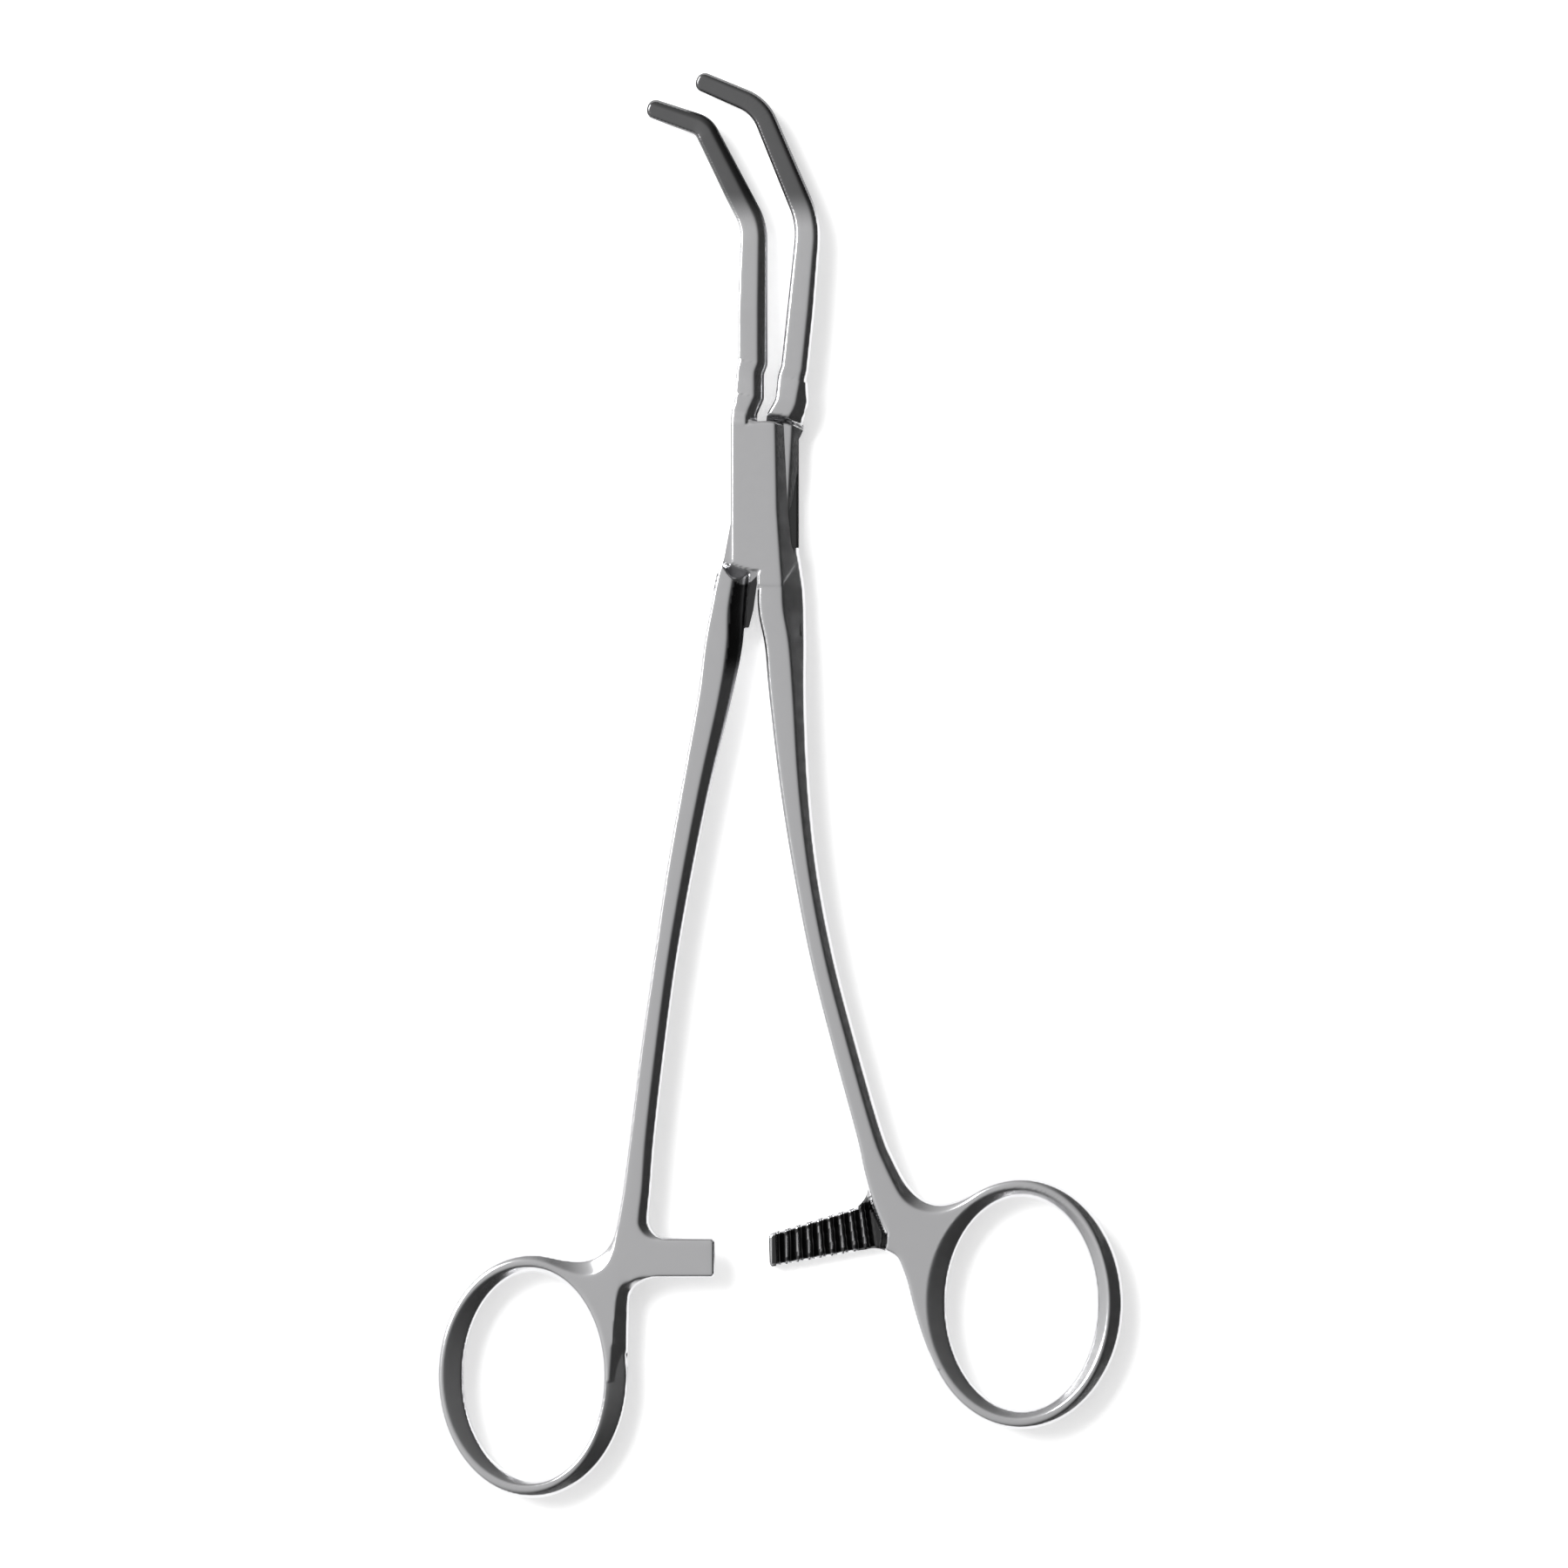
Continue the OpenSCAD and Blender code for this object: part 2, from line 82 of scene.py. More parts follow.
# %% Sizes of the clamp
BOX_THICK = 5.4
MID_Z = BOX_THICK / 2
CHEEK_THICK = 1.7
SLOT_HIGH = BOX_THICK - CHEEK_THICK
TANG_PLAY = 0.1
CHEEK_R = 9.5
HALF_CHEEK = 4.3
SHOULDER_R = CHEEK_R + 0.15
SHOULDER_SLOPE = 0.9
OPEN_ANGLE = 6.0
SHANK_LENGTH = 94.8
SHANK_WIDTH = 3.1
RING_THICK = 4.9
BAND_SIDE = 3.3
BAND_END = 2.4
ROOT_Y = CHEEK_R + 0.9
print(f"box lock {BOX_THICK} mm thick, rings {RING_THICK} mm thick")

# %% [markdown]
# A forged limb is drawn out, ground and polished, so its edges are fair curves.
# A fair curve through a few stations is a cubic that passes through each point
# with the direction of its two neighbours (the Catmull-Rom rule). Place, width,
# thickness and bevels all ride along the same curve.

# %% Fair curves through a few stations
def fair(rows, steps):
    """Every column of rows, run through a cubic: for t from 0 to 1 between rows b and c,
    half of 2b + (c - a)t + (2a - 5b + 4c - d)t^2 + (3b - a - 3c + d)t^3."""
    p = np.asarray(rows, float)
    p = np.vstack([2 * p[0] - p[1], p, 2 * p[-1] - p[-2]])
    t = (np.arange(steps) / steps)[None, :, None]
    a, b, c, d = (p[k:len(p) - 3 + k, None, :] for k in range(4))
    q = 0.5 * (2 * b + (c - a) * t + (2 * a - 5 * b + 4 * c - d) * t**2 + (3 * b - a - 3 * c + d) * t**3)
    return np.vstack([q.reshape(-1, p.shape[1]), p[-2]])


def dense(rows, spacing):
    """Rows spaced evenly along the curve, by straight interpolation on its length."""
    p = np.asarray(rows, float)
    run = np.concatenate([[0], np.cumsum(np.hypot(*np.diff(p[:, :2], axis=0).T))])
    at = np.linspace(0, run[-1], max(2, int(run[-1] / spacing)))
    return np.stack([np.interp(at, run, p[:, k]) for k in range(p.shape[1])], axis=1)


def spun(rows, degrees):
    """Rows turned about the pivot."""
    p = np.array(rows, float)
    c, s = np.cos(radians(degrees)), np.sin(radians(degrees))
    p[:, 0], p[:, 1] = c * p[:, 0] - s * p[:, 1], s * p[:, 0] + c * p[:, 1]
    return p


# %% [markdown]
# Each half of the clamp is flat work: seen from above it has an outline, and its
# front and back faces rise and fall only gently. So a half can be written as a
# region of the table and two heights above every point of it. A limb's height is
# its flat face less a plane for each bevel, and near the outline a small round
# takes the sharpness off, as polishing does.

# %% Bevels and broken edges
SLOPE, JAW_SLOPE = 0.85, 0.68
CREASE = 0.12
RIM_WIDTH, RIM_SLOPE, RIM_SOFT = 0.14, 2.0, 0.05


def soft(x, width=CREASE):
    """Zero below zero, x above it, and a short curve between: (x + sqrt(x^2 + width^2)) / 2."""
    return 0.5 * (x + np.sqrt(x * x + width * width))


def eased(value, start, end):
    """0 before start, 1 after end, and 3t^2 - 2t^3 between."""
    t = np.clip((value - start) / (end - start), 0, 1)
    return t * t * (3 - 2 * t)


def edge_fall(depth):
    """Drop of the broken edge: a steep narrow facet along the outline that catches the light."""
    return RIM_SLOPE * soft(np.minimum(RIM_WIDTH - depth, RIM_WIDTH), RIM_SOFT)


print(f"bevels fall {SLOPE} mm a mm, broken edges are {RIM_WIDTH} mm wide")

# %% [markdown]
# A limb is a path with columns that ride along it: x, y, the widths to its left and
# right, the levels of its back and front, and the widths of its two bevels. A point
# of the table takes the columns of the nearest place on the path.

# %% How far a point is from a limb
FAR = 60.0
END_REACH = 8
LIMB_MARGIN = 6
EDGE_LEAST = 0.35
CHUNK = 20000


def limb_places(rows, x, y):
    """For each point its offset to the left of the limb's path, how far it lies inside the path's
    start and its end, the path's own columns there and the direction to its left. The nearest
    station is found first, then the nearer of its two stretches gives the share between two stations."""
    pts = np.stack([x, y], axis=1)
    line = rows[:, :2]
    near = np.empty(len(pts), int)
    for start in range(0, len(pts), CHUNK):
        part = pts[start:start + CHUNK]
        near[start:start + CHUNK] = np.argmin(
            (part[:, None, 0] - line[None, :, 0])**2 + (part[:, None, 1] - line[None, :, 1])**2, axis=1)
    best = None  # (distance, offset, past the end, stretch, share, direction x and y)
    for shift in (-1, 0):
        a = np.clip(near + shift, 0, len(rows) - 2)
        d = line[a + 1] - line[a]
        length = np.hypot(d[:, 0], d[:, 1])
        d = d / length[:, None]
        v = pts - line[a]
        raw = (v * d).sum(1)
        t = np.clip(raw, 0.0, length)
        past = ((a == 0) & (raw < 0)) | ((a == len(rows) - 2) & (raw > length))
        off = d[:, 0] * v[:, 1] - d[:, 1] * v[:, 0]
        dist = np.hypot(*(v - d * t[:, None]).T)
        now = (dist, off, past, a, t / length, d[:, 0], d[:, 1])
        if best is None:
            best = now
        else:
            pick = dist < best[0]
            best = tuple(np.where(pick, n, b) for n, b in zip(now, best))
    dist, off, past, a, share, way_x, way_y = best
    cols = rows[a] * (1 - share)[:, None] + rows[a + 1] * share[:, None]
    side = np.where(past, off, np.sign(off) * dist)
    first, last = line[1] - line[0], line[-1] - line[-2]
    start = np.where(near < END_REACH, (pts - line[0]) @ (first / np.hypot(*first)), FAR)
    end = np.where(near >= len(rows) - END_REACH, (line[-1] - pts) @ (last / np.hypot(*last)), FAR)
    return side, start, end, cols, (-way_y, way_x)


def limb_field(rows, x, y, tip=0.0, slope=SLOPE):
    """Depth inside the limb's outline, and its front and back heights.
    Front = flat face - slope x soft(bevel - depth) for both edges - the broken edge. A wide bevel
    is less steep, so that the edge keeps its least thickness. A tip above zero is the radius of
    the corners at the limb's far end."""
    depth = np.full(len(x), -FAR)
    top = np.full(len(x), -FAR)
    low = np.full(len(x), FAR)
    lo, hi = rows[:, :2].min(0) - LIMB_MARGIN, rows[:, :2].max(0) + LIMB_MARGIN
    m = (x > lo[0]) & (x < hi[0]) & (y > lo[1]) & (y < hi[1])
    side, start, end, c, _ = limb_places(rows, x[m], y[m])
    from_left, from_right = c[:, 2] - side, c[:, 3] + side
    half = (c[:, 5] - c[:, 4]) / 2
    limit = half - EDGE_LEAST
    fall = 0
    for d, bevel in ((from_left, c[:, 6]), (from_right, c[:, 7])):
        fall = fall + np.minimum(slope, limit / bevel) * soft(bevel - d)
    inner = np.minimum(from_left, from_right)
    if tip:
        blunt = tip - np.hypot(np.maximum(tip - inner, 0), np.maximum(tip - end, 0))
        inner = np.where(end < tip, np.minimum(inner, blunt), inner)
    fall = fall + edge_fall(inner)
    inner = np.minimum(inner, np.minimum(start, end))
    depth[m], top[m], low[m] = inner, c[:, 5] - fall, c[:, 4] + fall
    return depth, top, low


print("limbs keep", 2 * EDGE_LEAST, "mm of thickness at their edges")

# %% [markdown]
# The rings are ovals, and what is milled or filed has straight sides. Where two
# outlines meet in a corner, the forging die leaves a round.

# %% How far a point is from an ellipse and a polygon
def ellipse_depth(x, y, centre, half_w, half_h):
    """Distance inside an ellipse, to first order: (1 - rho) over the length of rho's slope,
    where rho is the root of (x / half_w)^2 + (y / half_h)^2."""
    u, v = x - centre[0], y - centre[1]
    rho = np.sqrt((u / half_w)**2 + (v / half_h)**2) + 1e-9
    slope = np.hypot(u / half_w**2, v / half_h**2) / rho
    return (1 - rho) / np.maximum(slope, 1e-6)


def polygon_depth(x, y, corners):
    """Distance to the nearest side, positive inside and negative outside, from the crossing rule."""
    p = np.asarray(corners, float)
    q = np.roll(p, -1, axis=0)
    best = np.full(len(x), FAR**2)
    inside = np.zeros(len(x), bool)
    for a, b in zip(p, q):
        e = b - a
        wx, wy = x - a[0], y - a[1]
        t = np.clip((wx * e[0] + wy * e[1]) / (e @ e), 0, 1)
        best = np.minimum(best, (wx - t * e[0])**2 + (wy - t * e[1])**2)
        crosses = (a[1] > y) != (b[1] > y)
        at = a[0] + (y - a[1]) / (e[1] if e[1] else 1e-9) * e[0]
        inside ^= crosses & (x < at)
    return np.where(inside, 1.0, -1.0) * np.sqrt(best)


def joined(a, b, radius):
    """Two depths joined, with a round of the given radius in the corner between them."""
    return -(np.maximum(radius, np.minimum(-a, -b))
             - np.hypot(np.maximum(radius + a, 0), np.maximum(radius + b, 0)))


print("fields ready: ellipse, polygon and rounded join")

# %% [markdown]
# The outline of a half has no formula of its own, but the depth inside it has:
# where it is zero, the outline runs. A square grid is laid over the half, each
# square is cut into two triangles, and those that straddle the outline are
# trimmed on it. That gives the front face. The back face has the same plan,
# and a wall joins them along the trimmed edge.

# %% A slab between two heights, trimmed on its outline
def trimmed(region):
    """Triangles of a grid kept where region is above zero and cut where it crosses zero.
    Returns the kept corners as pairs of grid points with a share, the triangles and the rim."""
    rows, cols = region.shape
    ids = np.arange(rows * cols).reshape(rows, cols)
    a, b, c, d = ids[:-1, :-1], ids[:-1, 1:], ids[1:, 1:], ids[1:, :-1]
    tri = np.concatenate([np.stack([a, b, c], -1).reshape(-1, 3), np.stack([a, c, d], -1).reshape(-1, 3)])
    value = region.ravel()
    flags = value[tri] > 0
    count = flags.sum(1)
    whole = tri[count == 3]

    def turn(t, first):
        k = (first[:, None] + np.arange(3)[None, :]) % 3
        return np.take_along_axis(t, k, axis=1)

    one = turn(tri[count == 1], np.argmax(flags[count == 1], axis=1))
    two = turn(tri[count == 2], np.argmin(flags[count == 2], axis=1))
    total = rows * cols

    def edge(p, q):
        lo, hi = np.minimum(p, q), np.maximum(p, q)
        return lo * total + hi

    keys = np.concatenate([edge(one[:, 0], one[:, 1]), edge(one[:, 0], one[:, 2]),
                           edge(two[:, 0], two[:, 1]), edge(two[:, 0], two[:, 2])])
    unique, where = np.unique(keys, return_inverse=True)
    n1, n2 = len(one), len(two)
    cut = where + total
    o1, o2 = cut[:n1], cut[n1:2 * n1]
    t1, t2 = cut[2 * n1:2 * n1 + n2], cut[2 * n1 + n2:]
    faces = np.concatenate([whole,
                            np.stack([one[:, 0], o1, o2], 1),
                            np.stack([t1, two[:, 1], two[:, 2]], 1),
                            np.stack([t1, two[:, 2], t2], 1)])
    p, q = unique // total, unique % total
    share = value[p] / (value[p] - value[q])
    used, faces_flat = np.unique(faces, return_inverse=True)
    faces = faces_flat.reshape(-1, 3)
    n = len(used)
    ahead = np.concatenate([faces[:, 0] * n + faces[:, 1], faces[:, 1] * n + faces[:, 2],
                            faces[:, 2] * n + faces[:, 0]])
    back = (ahead % n) * n + ahead // n
    alone = ahead[~np.isin(ahead, back)]
    rim = np.stack([alone // n, alone % n], 1)
    grid = used < total
    first = np.where(grid, used, p[np.where(grid, 0, used - total)] if len(p) else used)
    second = np.where(grid, used, q[np.where(grid, 0, used - total)] if len(p) else used)
    part = np.where(grid, 0.0, share[np.where(grid, 0, used - total)] if len(p) else 0.0)
    return (first, second, part), faces, rim


def slab(x, y, region, top, low, lean_top=None):
    """Closed mesh between the heights top and low over region > 0, with a normal for each face corner.
    The front's normals come from lean_top where it is given."""
    (first, second, part), faces, rim = trimmed(region)

    def at(grid):
        flat = grid.ravel()
        return flat[first] * (1 - part) + flat[second] * part

    gx, gy = np.meshgrid(x, y)
    px, py = at(gx), at(gy)
    n = len(px)
    points = np.concatenate([np.stack([px, py, at(top)], 1), np.stack([px, py, at(low)], 1)])

    def lean(grid, up):
        dy, dx = np.gradient(grid, y, x)
        v = np.stack([-at(dx) * up, -at(dy) * up, np.full(n, float(up))], 1)
        return v / np.linalg.norm(v, axis=1)[:, None]

    n_top, n_low = lean(top if lean_top is None else lean_top, 1), lean(low, -1)
    ry, rx = np.gradient(region, y, x)
    out = -np.stack([at(rx), at(ry), np.zeros(n)], 1)
    out /= np.maximum(np.linalg.norm(out, axis=1)[:, None], 1e-9)
    i, j = rim[:, 0], rim[:, 1]
    wall = np.concatenate([np.stack([i + n, j + n, j], 1), np.stack([i + n, j, i], 1)])
    wall_n = np.concatenate([np.stack([out[i], out[j], out[j]], 1), np.stack([out[i], out[j], out[i]], 1)])
    under = faces[:, ::-1]
    tris = np.concatenate([faces, under + n, wall])
    corner = np.concatenate([n_top[faces], n_low[under], wall_n])
    return points, tris, corner


def steel_piece(name, slabs, painted_shade):
    """One object from several slabs, in metres at the origin, with the painted shade of its steel at each
    point.
    """
    base, pts, tris, normals = 0, [], [], []
    for p, t, c in slabs:
        pts.append(p)
        tris.append(t + base)
        normals.append(c)
        base += len(p)
    pts, tris, normals = np.concatenate(pts), np.concatenate(tris), np.concatenate(normals)
    # Painted shade: a factor at each point, 1 for the steel's own colour, lower where shade is painted in.
    shade = painted_shade(*pts.T)
    pts = pts * MM
    mesh = bpy.data.meshes.new(name)
    mesh.vertices.add(len(pts))
    mesh.vertices.foreach_set("co", pts.ravel())
    mesh.loops.add(tris.size)
    mesh.loops.foreach_set("vertex_index", tris.ravel().astype(np.int32))
    mesh.polygons.add(len(tris))
    mesh.polygons.foreach_set("loop_start", np.arange(0, tris.size, 3, dtype=np.int32))
    mesh.update(calc_edges=True)
    mesh.polygons.foreach_set("use_smooth", np.ones(len(tris), bool))
    mesh.normals_split_custom_set(normals.reshape(-1, 3).tolist())
    # The attribute carries the painted shade to the material.
    mesh.attributes.new("painted_shade", "FLOAT", "POINT").data.foreach_set("value", shade.astype(np.float32))
    piece = bpy.data.objects.new(name, mesh)
    bpy.context.scene.collection.objects.link(piece)
    print(f"{name}: {len(pts)} points, {len(tris)} triangles")
    return piece


def ruled(*stretches):
    """Grid lines over stretches of (start, end, spacing) that follow on each other."""
    lines = [np.linspace(a, b, max(2, int(round((b - a) / step)) + 1))[:-1] for a, b, step in stretches]
    return np.concatenate(lines + [[stretches[-1][1]]])


# %% [markdown]
# The stations of the limbs. The gripping curve is shared: the left jaw lies on its
# left, the right jaw on its right, turned open by six degrees. The shanks slim from
# the box lock to the middle and broaden again into the rings.

# %% Stations of the jaws and shanks
GRIP_X, GRIP_START, GRIP_LOW, GRIP_MID, GRIP_TIP = 0.35, 16.6, 17.9, 15.05, 8.1
BEND_LOW, BEND_HIGH, LOW_R, HIGH_R = radians(27.9), radians(44.1), 9.0, 4.0
JAW_WIDTH, JAW_TIP_WIDTH, JAW_THICK, JAW_TIP_THICK = 3.85, 2.4, 4.0, 2.0
TIP_R = 1.05
LOW_SHARES, HIGH_SHARES, FULL_UNTIL, BEVEL_LOSS = (0.38, 0.12), (0.76, 0.1), 0.2, 0.4
ROOT_X = 0.05 - tan(radians(OPEN_ANGLE)) * CHEEK_R
NECK = (-0.1, ROOT_Y + 1.9)


def grip_curve():
    """Straight, arc, straight, arc, straight, each point with its share of the jaw's length."""
    low_tan, high_tan = LOW_R * tan(BEND_LOW / 2), HIGH_R * tan(BEND_HIGH / 2)
    low_c = np.array([GRIP_X - LOW_R, GRIP_START + GRIP_LOW - low_tan])
    t = np.linspace(0, 1, 25)
    a = BEND_LOW * t
    low_share, high_share = (first + more * t for first, more in (LOW_SHARES, HIGH_SHARES))
    low = np.stack([low_c[0] + LOW_R * np.cos(a), low_c[1] + LOW_R * np.sin(a), low_share], 1)
    mid_way = np.array([-np.sin(BEND_LOW), np.cos(BEND_LOW)])
    stop = low[-1, :2] + (GRIP_MID - low_tan - high_tan) * mid_way
    high_c = stop - HIGH_R * np.array([np.cos(BEND_LOW), np.sin(BEND_LOW)])
    b = BEND_LOW + BEND_HIGH * t
    high = np.stack([high_c[0] + HIGH_R * np.cos(b), high_c[1] + HIGH_R * np.sin(b), high_share], 1)
    turn = BEND_LOW + BEND_HIGH
    tip = high[-1, :2] + (GRIP_TIP - high_tan) * np.array([-np.sin(turn), np.cos(turn)])
    start = [[GRIP_X, GRIP_START, 0], [GRIP_X, GRIP_START + GRIP_LOW * 0.4, FULL_UNTIL]]
    return np.vstack([start, low, high, [*tip, 1]])


def jaw_rows(side, width, inner, outer, root_outer, shift, root_width, neck_width, foot):
    """Stations of a jaw, with all columns of a limb: its root, its neck and the gripping curve.
    Side is 1 for the left jaw and -1 for the right. The outer bevel is root_outer wide at the root
    and eases to outer along the neck. The root reaches foot below the top of the lock."""
    g = grip_curve()
    taper = np.maximum(0, (g[:, 2] - FULL_UNTIL) / (1 - FULL_UNTIL))
    reach = width + (JAW_TIP_WIDTH - width) * taper
    half = (JAW_THICK + (JAW_TIP_THICK - JAW_THICK) * taper) / 2
    ease = 1 - BEVEL_LOSS * taper
    start = [[ROOT_X + shift, ROOT_Y - foot, root_width, MID_Z - 0.3, 1],
             [ROOT_X + shift, ROOT_Y, root_width, MID_Z - 0.35, 1],
             [NECK[0] + shift, NECK[1], neck_width, JAW_THICK / 2 + 0.3, 1],
             [NECK[0] + shift, GRIP_START - 1.2, width - (NECK[0] + GRIP_X) * side, JAW_THICK / 2 + 0.1, 1]]
    p = np.vstack([start, np.stack([g[:, 0], g[:, 1], reach, half, ease], 1)])
    outside = outer * p[:, 4]
    outside[:4] = [root_outer, root_outer, (root_outer + outer) / 2, outer]
    none = np.zeros(len(p))
    left, right = (p[:, 2], none) if side > 0 else (none, p[:, 2])
    b_left, b_right = (outside, inner * p[:, 4]) if side > 0 else (inner * p[:, 4], outside)
    back, front = MID_Z - p[:, 3], MID_Z + p[:, 3]
    return np.stack([p[:, 0], p[:, 1], left, right, back, front, b_left, b_right], 1)


def shank_rows(rows):
    """Stations of a shank from its centres, widths and bevels, left and right as seen from the front.
    It runs downward, so its right-hand side is on the left of its path. Its thickness eases to the ring's."""
    r = np.asarray(rows, float)
    t = (r[:, 1] - r[0, 1]) / (r[-1, 1] - r[0, 1])
    mid = MID_Z + (RING_THICK / 2 - MID_Z) * t
    return np.stack([r[:, 0], r[:, 1], r[:, 2] / 2, r[:, 2] / 2, np.full(len(r), SEAT), 2 * mid - SEAT,
                     r[:, 4], r[:, 3]], 1)


# Each station is the centre's x and y, the width, the left bevel and the right bevel.
# Below the yoke a shank runs on within its ring's band.
SEAT = 0.03
W, L, R = SHANK_WIDTH, -SHANK_LENGTH, CHEEK_R
LEFT_SHANK = [
    [-3.95, 0.6 - R, 3.5, 0.2, 1.9], [-4.15, -0.8 - R, 3.95, 0.2, 1.9], [-4.68, -4.7 - R, 4.44, 0.2, 2.2],
    [-5.3, -9.3 - R, 4.9, 0.2, 2], [-6.38, 0.266 * L, 4.4, 0.25, 1.65], [-8.69, 0.382 * L, W + 0.65, 0.3, 1.4],
    [-10.78, 0.498 * L, W + 0.35, 0.3, 1.3], [-12.54, 0.614 * L, W, 0.25, 1.25],
    [-14.08, 0.73 * L, W + 0.1, 0.25, 1.25], [-15.4, 0.846 * L, W + 0.2, 0.25, 1.25],
    [-16.1, 0.916 * L, W + 0.5, 0.25, 1.2], [-16.5, 0.949 * L, W + 0.7, 0.25, 1.25],
    [-17, 0.992 * L, W + 1.2, 0.25, 1.4], [-17.65, -96.8, 3.9, 0.3, 1.45], [-18.6, -100.2, 3.3, 0.3, 1.55],
    [-18.9, -103.6, 3.5, 0.3, 1.8], [-19.1, -107.5, 3.7, 0.3, 2.1], [-19.3, -111.2, 4, 0.3, 2.3]]
RIGHT_SHANK = [
    [1.95, 3.2 - R, 4.1, 0.2, 2.15], [2.15, 1.3 - R, 4.7, 0.2, 2.55], [2.05, -1.5 - R, 5.75, 0.2, 2.8],
    [2.15, -4.7 - R, 5.95, 0.2, 2.85], [2.6, -9.1 - R, 5.2, 0.2, 2.2], [2.87, 0.266 * L, 4.6, 0.2, 1.65],
    [3.74, 0.382 * L, W + 0.65, 0.2, 1.4], [5.17, 0.498 * L, W + 0.05, 0.2, 1.25],
    [7.26, 0.614 * L, W, 0.2, 1.25], [10.07, 0.73 * L, W + 0.1, 0.2, 1.25],
    [13.15, 0.846 * L, W + 0.3, 0.2, 1.3], [14.5, 0.892 * L, W + 1.1, 0.2, 1.4],
    [16.3, 0.939 * L, W + 2, 0.2, 1.4], [18.4, 0.986 * L, W + 1.9, 0.2, 0.4], [19.75, -97.6, 4.4, 0.2, 0.4],
    [20.6, -101.6, 4, 0.2, 0.4], [21.85, -105.6, 4, 0.2, 0.4], [23.3, -109, 4, 0.2, 0.4]]
STATION, FAIR_STEPS = 0.4, 8
left_shank = dense(fair(shank_rows(LEFT_SHANK), FAIR_STEPS), STATION)
right_shank = dense(fair(shank_rows(RIGHT_SHANK), FAIR_STEPS), STATION)
left_jaw = dense(jaw_rows(
    side=1, width=JAW_WIDTH, inner=1.3, outer=0.2, root_outer=0.2, shift=0,
    root_width=3.3, neck_width=3.9, foot=1.2), STATION)
right_jaw = dense(spun(jaw_rows(
    side=-1, width=JAW_WIDTH - 0.4, inner=0.2, outer=0.9, root_outer=2.4, shift=0.15,
    root_width=4.9, neck_width=4.2, foot=2.6), -OPEN_ANGLE), STATION)
print("stations:", len(left_jaw), len(right_jaw), len(left_shank), len(right_shank))

# %% [markdown]
# A finger ring is an oval band ground in two planes, one to each side of a crest
# that wanders across the band as it goes round. The yoke joins the ring to the shank
# and to the ratchet bar with rounded corners, in one flat face. The bars' teeth are
# cut radially about the pivot.

# %% Rings, yokes and ratchet bars
LEFT_BORE, RIGHT_BORE = (17.4, 26.0), (19.0, 26.8)
LEFT_INNER, RIGHT_INNER = (-17.3, L - 0.5), (19.5, L + 9)
LEFT_RING = (LEFT_INNER[0] - BAND_SIDE - LEFT_BORE[0] / 2, LEFT_INNER[1] - BAND_END - LEFT_BORE[1] / 2)
RIGHT_RING = (RIGHT_INNER[0] + BAND_SIDE + RIGHT_BORE[0] / 2, RIGHT_INNER[1] - BAND_END - RIGHT_BORE[1] / 2)
YOKE_Y = 0.846 * L
CROTCH_R, BAR_CORNER_R = 7.5, 2.6
BESIDE, CROTCH_FADE = (0.1, 0.7), (2, 8)
LEFT_UNTIL, RIGHT_UNTIL = -110.7, -107.5
RING_FALL, RING_FALL_MOST, BAR_BEVEL = 1.15, 1.35, 0.12
FLAT_SIDE, FLAT_END, CREST_SOFT = 0.03, 0.16, 0.05
LEFT_CREST, RIGHT_CREST = (0.5, 0.34), (0.62, 0.16)
BAR_WIDTH, BAR_SPREAD, BAR_CHAMFER = 4.2, 0.35, 0.35
TOOTH_GAP, TOOTH_DEPTH, TOOTH_LAND, STEEP = 0.1, 0.9, 0.3, 0.2
FRONT_FACE, REAR_FACE = (RING_THICK + TOOTH_GAP) / 2, (RING_THICK - TOOTH_GAP) / 2
FRONT_Y, REAR_Y = L - 1.05, L - 0.15
FRONT_FROM, FRONT_LENGTH, REAR_FROM, REAR_LENGTH = -14.7, 8.4, 12.9, 12.4
FRONT_END, REAR_END = FRONT_FROM + FRONT_LENGTH, REAR_FROM - REAR_LENGTH
FRONT_ROOT, REAR_ROOT, REAR_RISE = -16.7, 15.5, 3
PITCH, FIRST_REAR_X, FRONT_LAND = 1.42, 2.8, 0.9
TOOTH_ANGLE = atan(PITCH / SHANK_LENGTH)
REAR_FIRST = atan(FIRST_REAR_X / SHANK_LENGTH)
FRONT_FIRST = atan((FRONT_END - FRONT_LAND) / SHANK_LENGTH)
h = BAR_WIDTH / 2
wide = h + BAR_SPREAD
rise_y = REAR_Y + REAR_RISE
front_bar = [[FRONT_ROOT, FRONT_Y - wide], [FRONT_END - BAR_CHAMFER, FRONT_Y - wide],
             [FRONT_END, FRONT_Y + BAR_CHAMFER - wide], [FRONT_END, FRONT_Y + wide - BAR_CHAMFER],
             [FRONT_END - BAR_CHAMFER, FRONT_Y + wide], [FRONT_ROOT, FRONT_Y + wide]]
rear_bar = [[REAR_END, REAR_Y + h - BAR_CHAMFER], [REAR_END + 0.1, REAR_Y + BAR_CHAMFER - h],
            [REAR_END + BAR_CHAMFER, REAR_Y - h], [REAR_ROOT, rise_y - wide], [REAR_ROOT, rise_y],
            [REAR_FROM, rise_y + h + 2 * BAR_SPREAD], [REAR_END + BAR_CHAMFER, REAR_Y + h]]


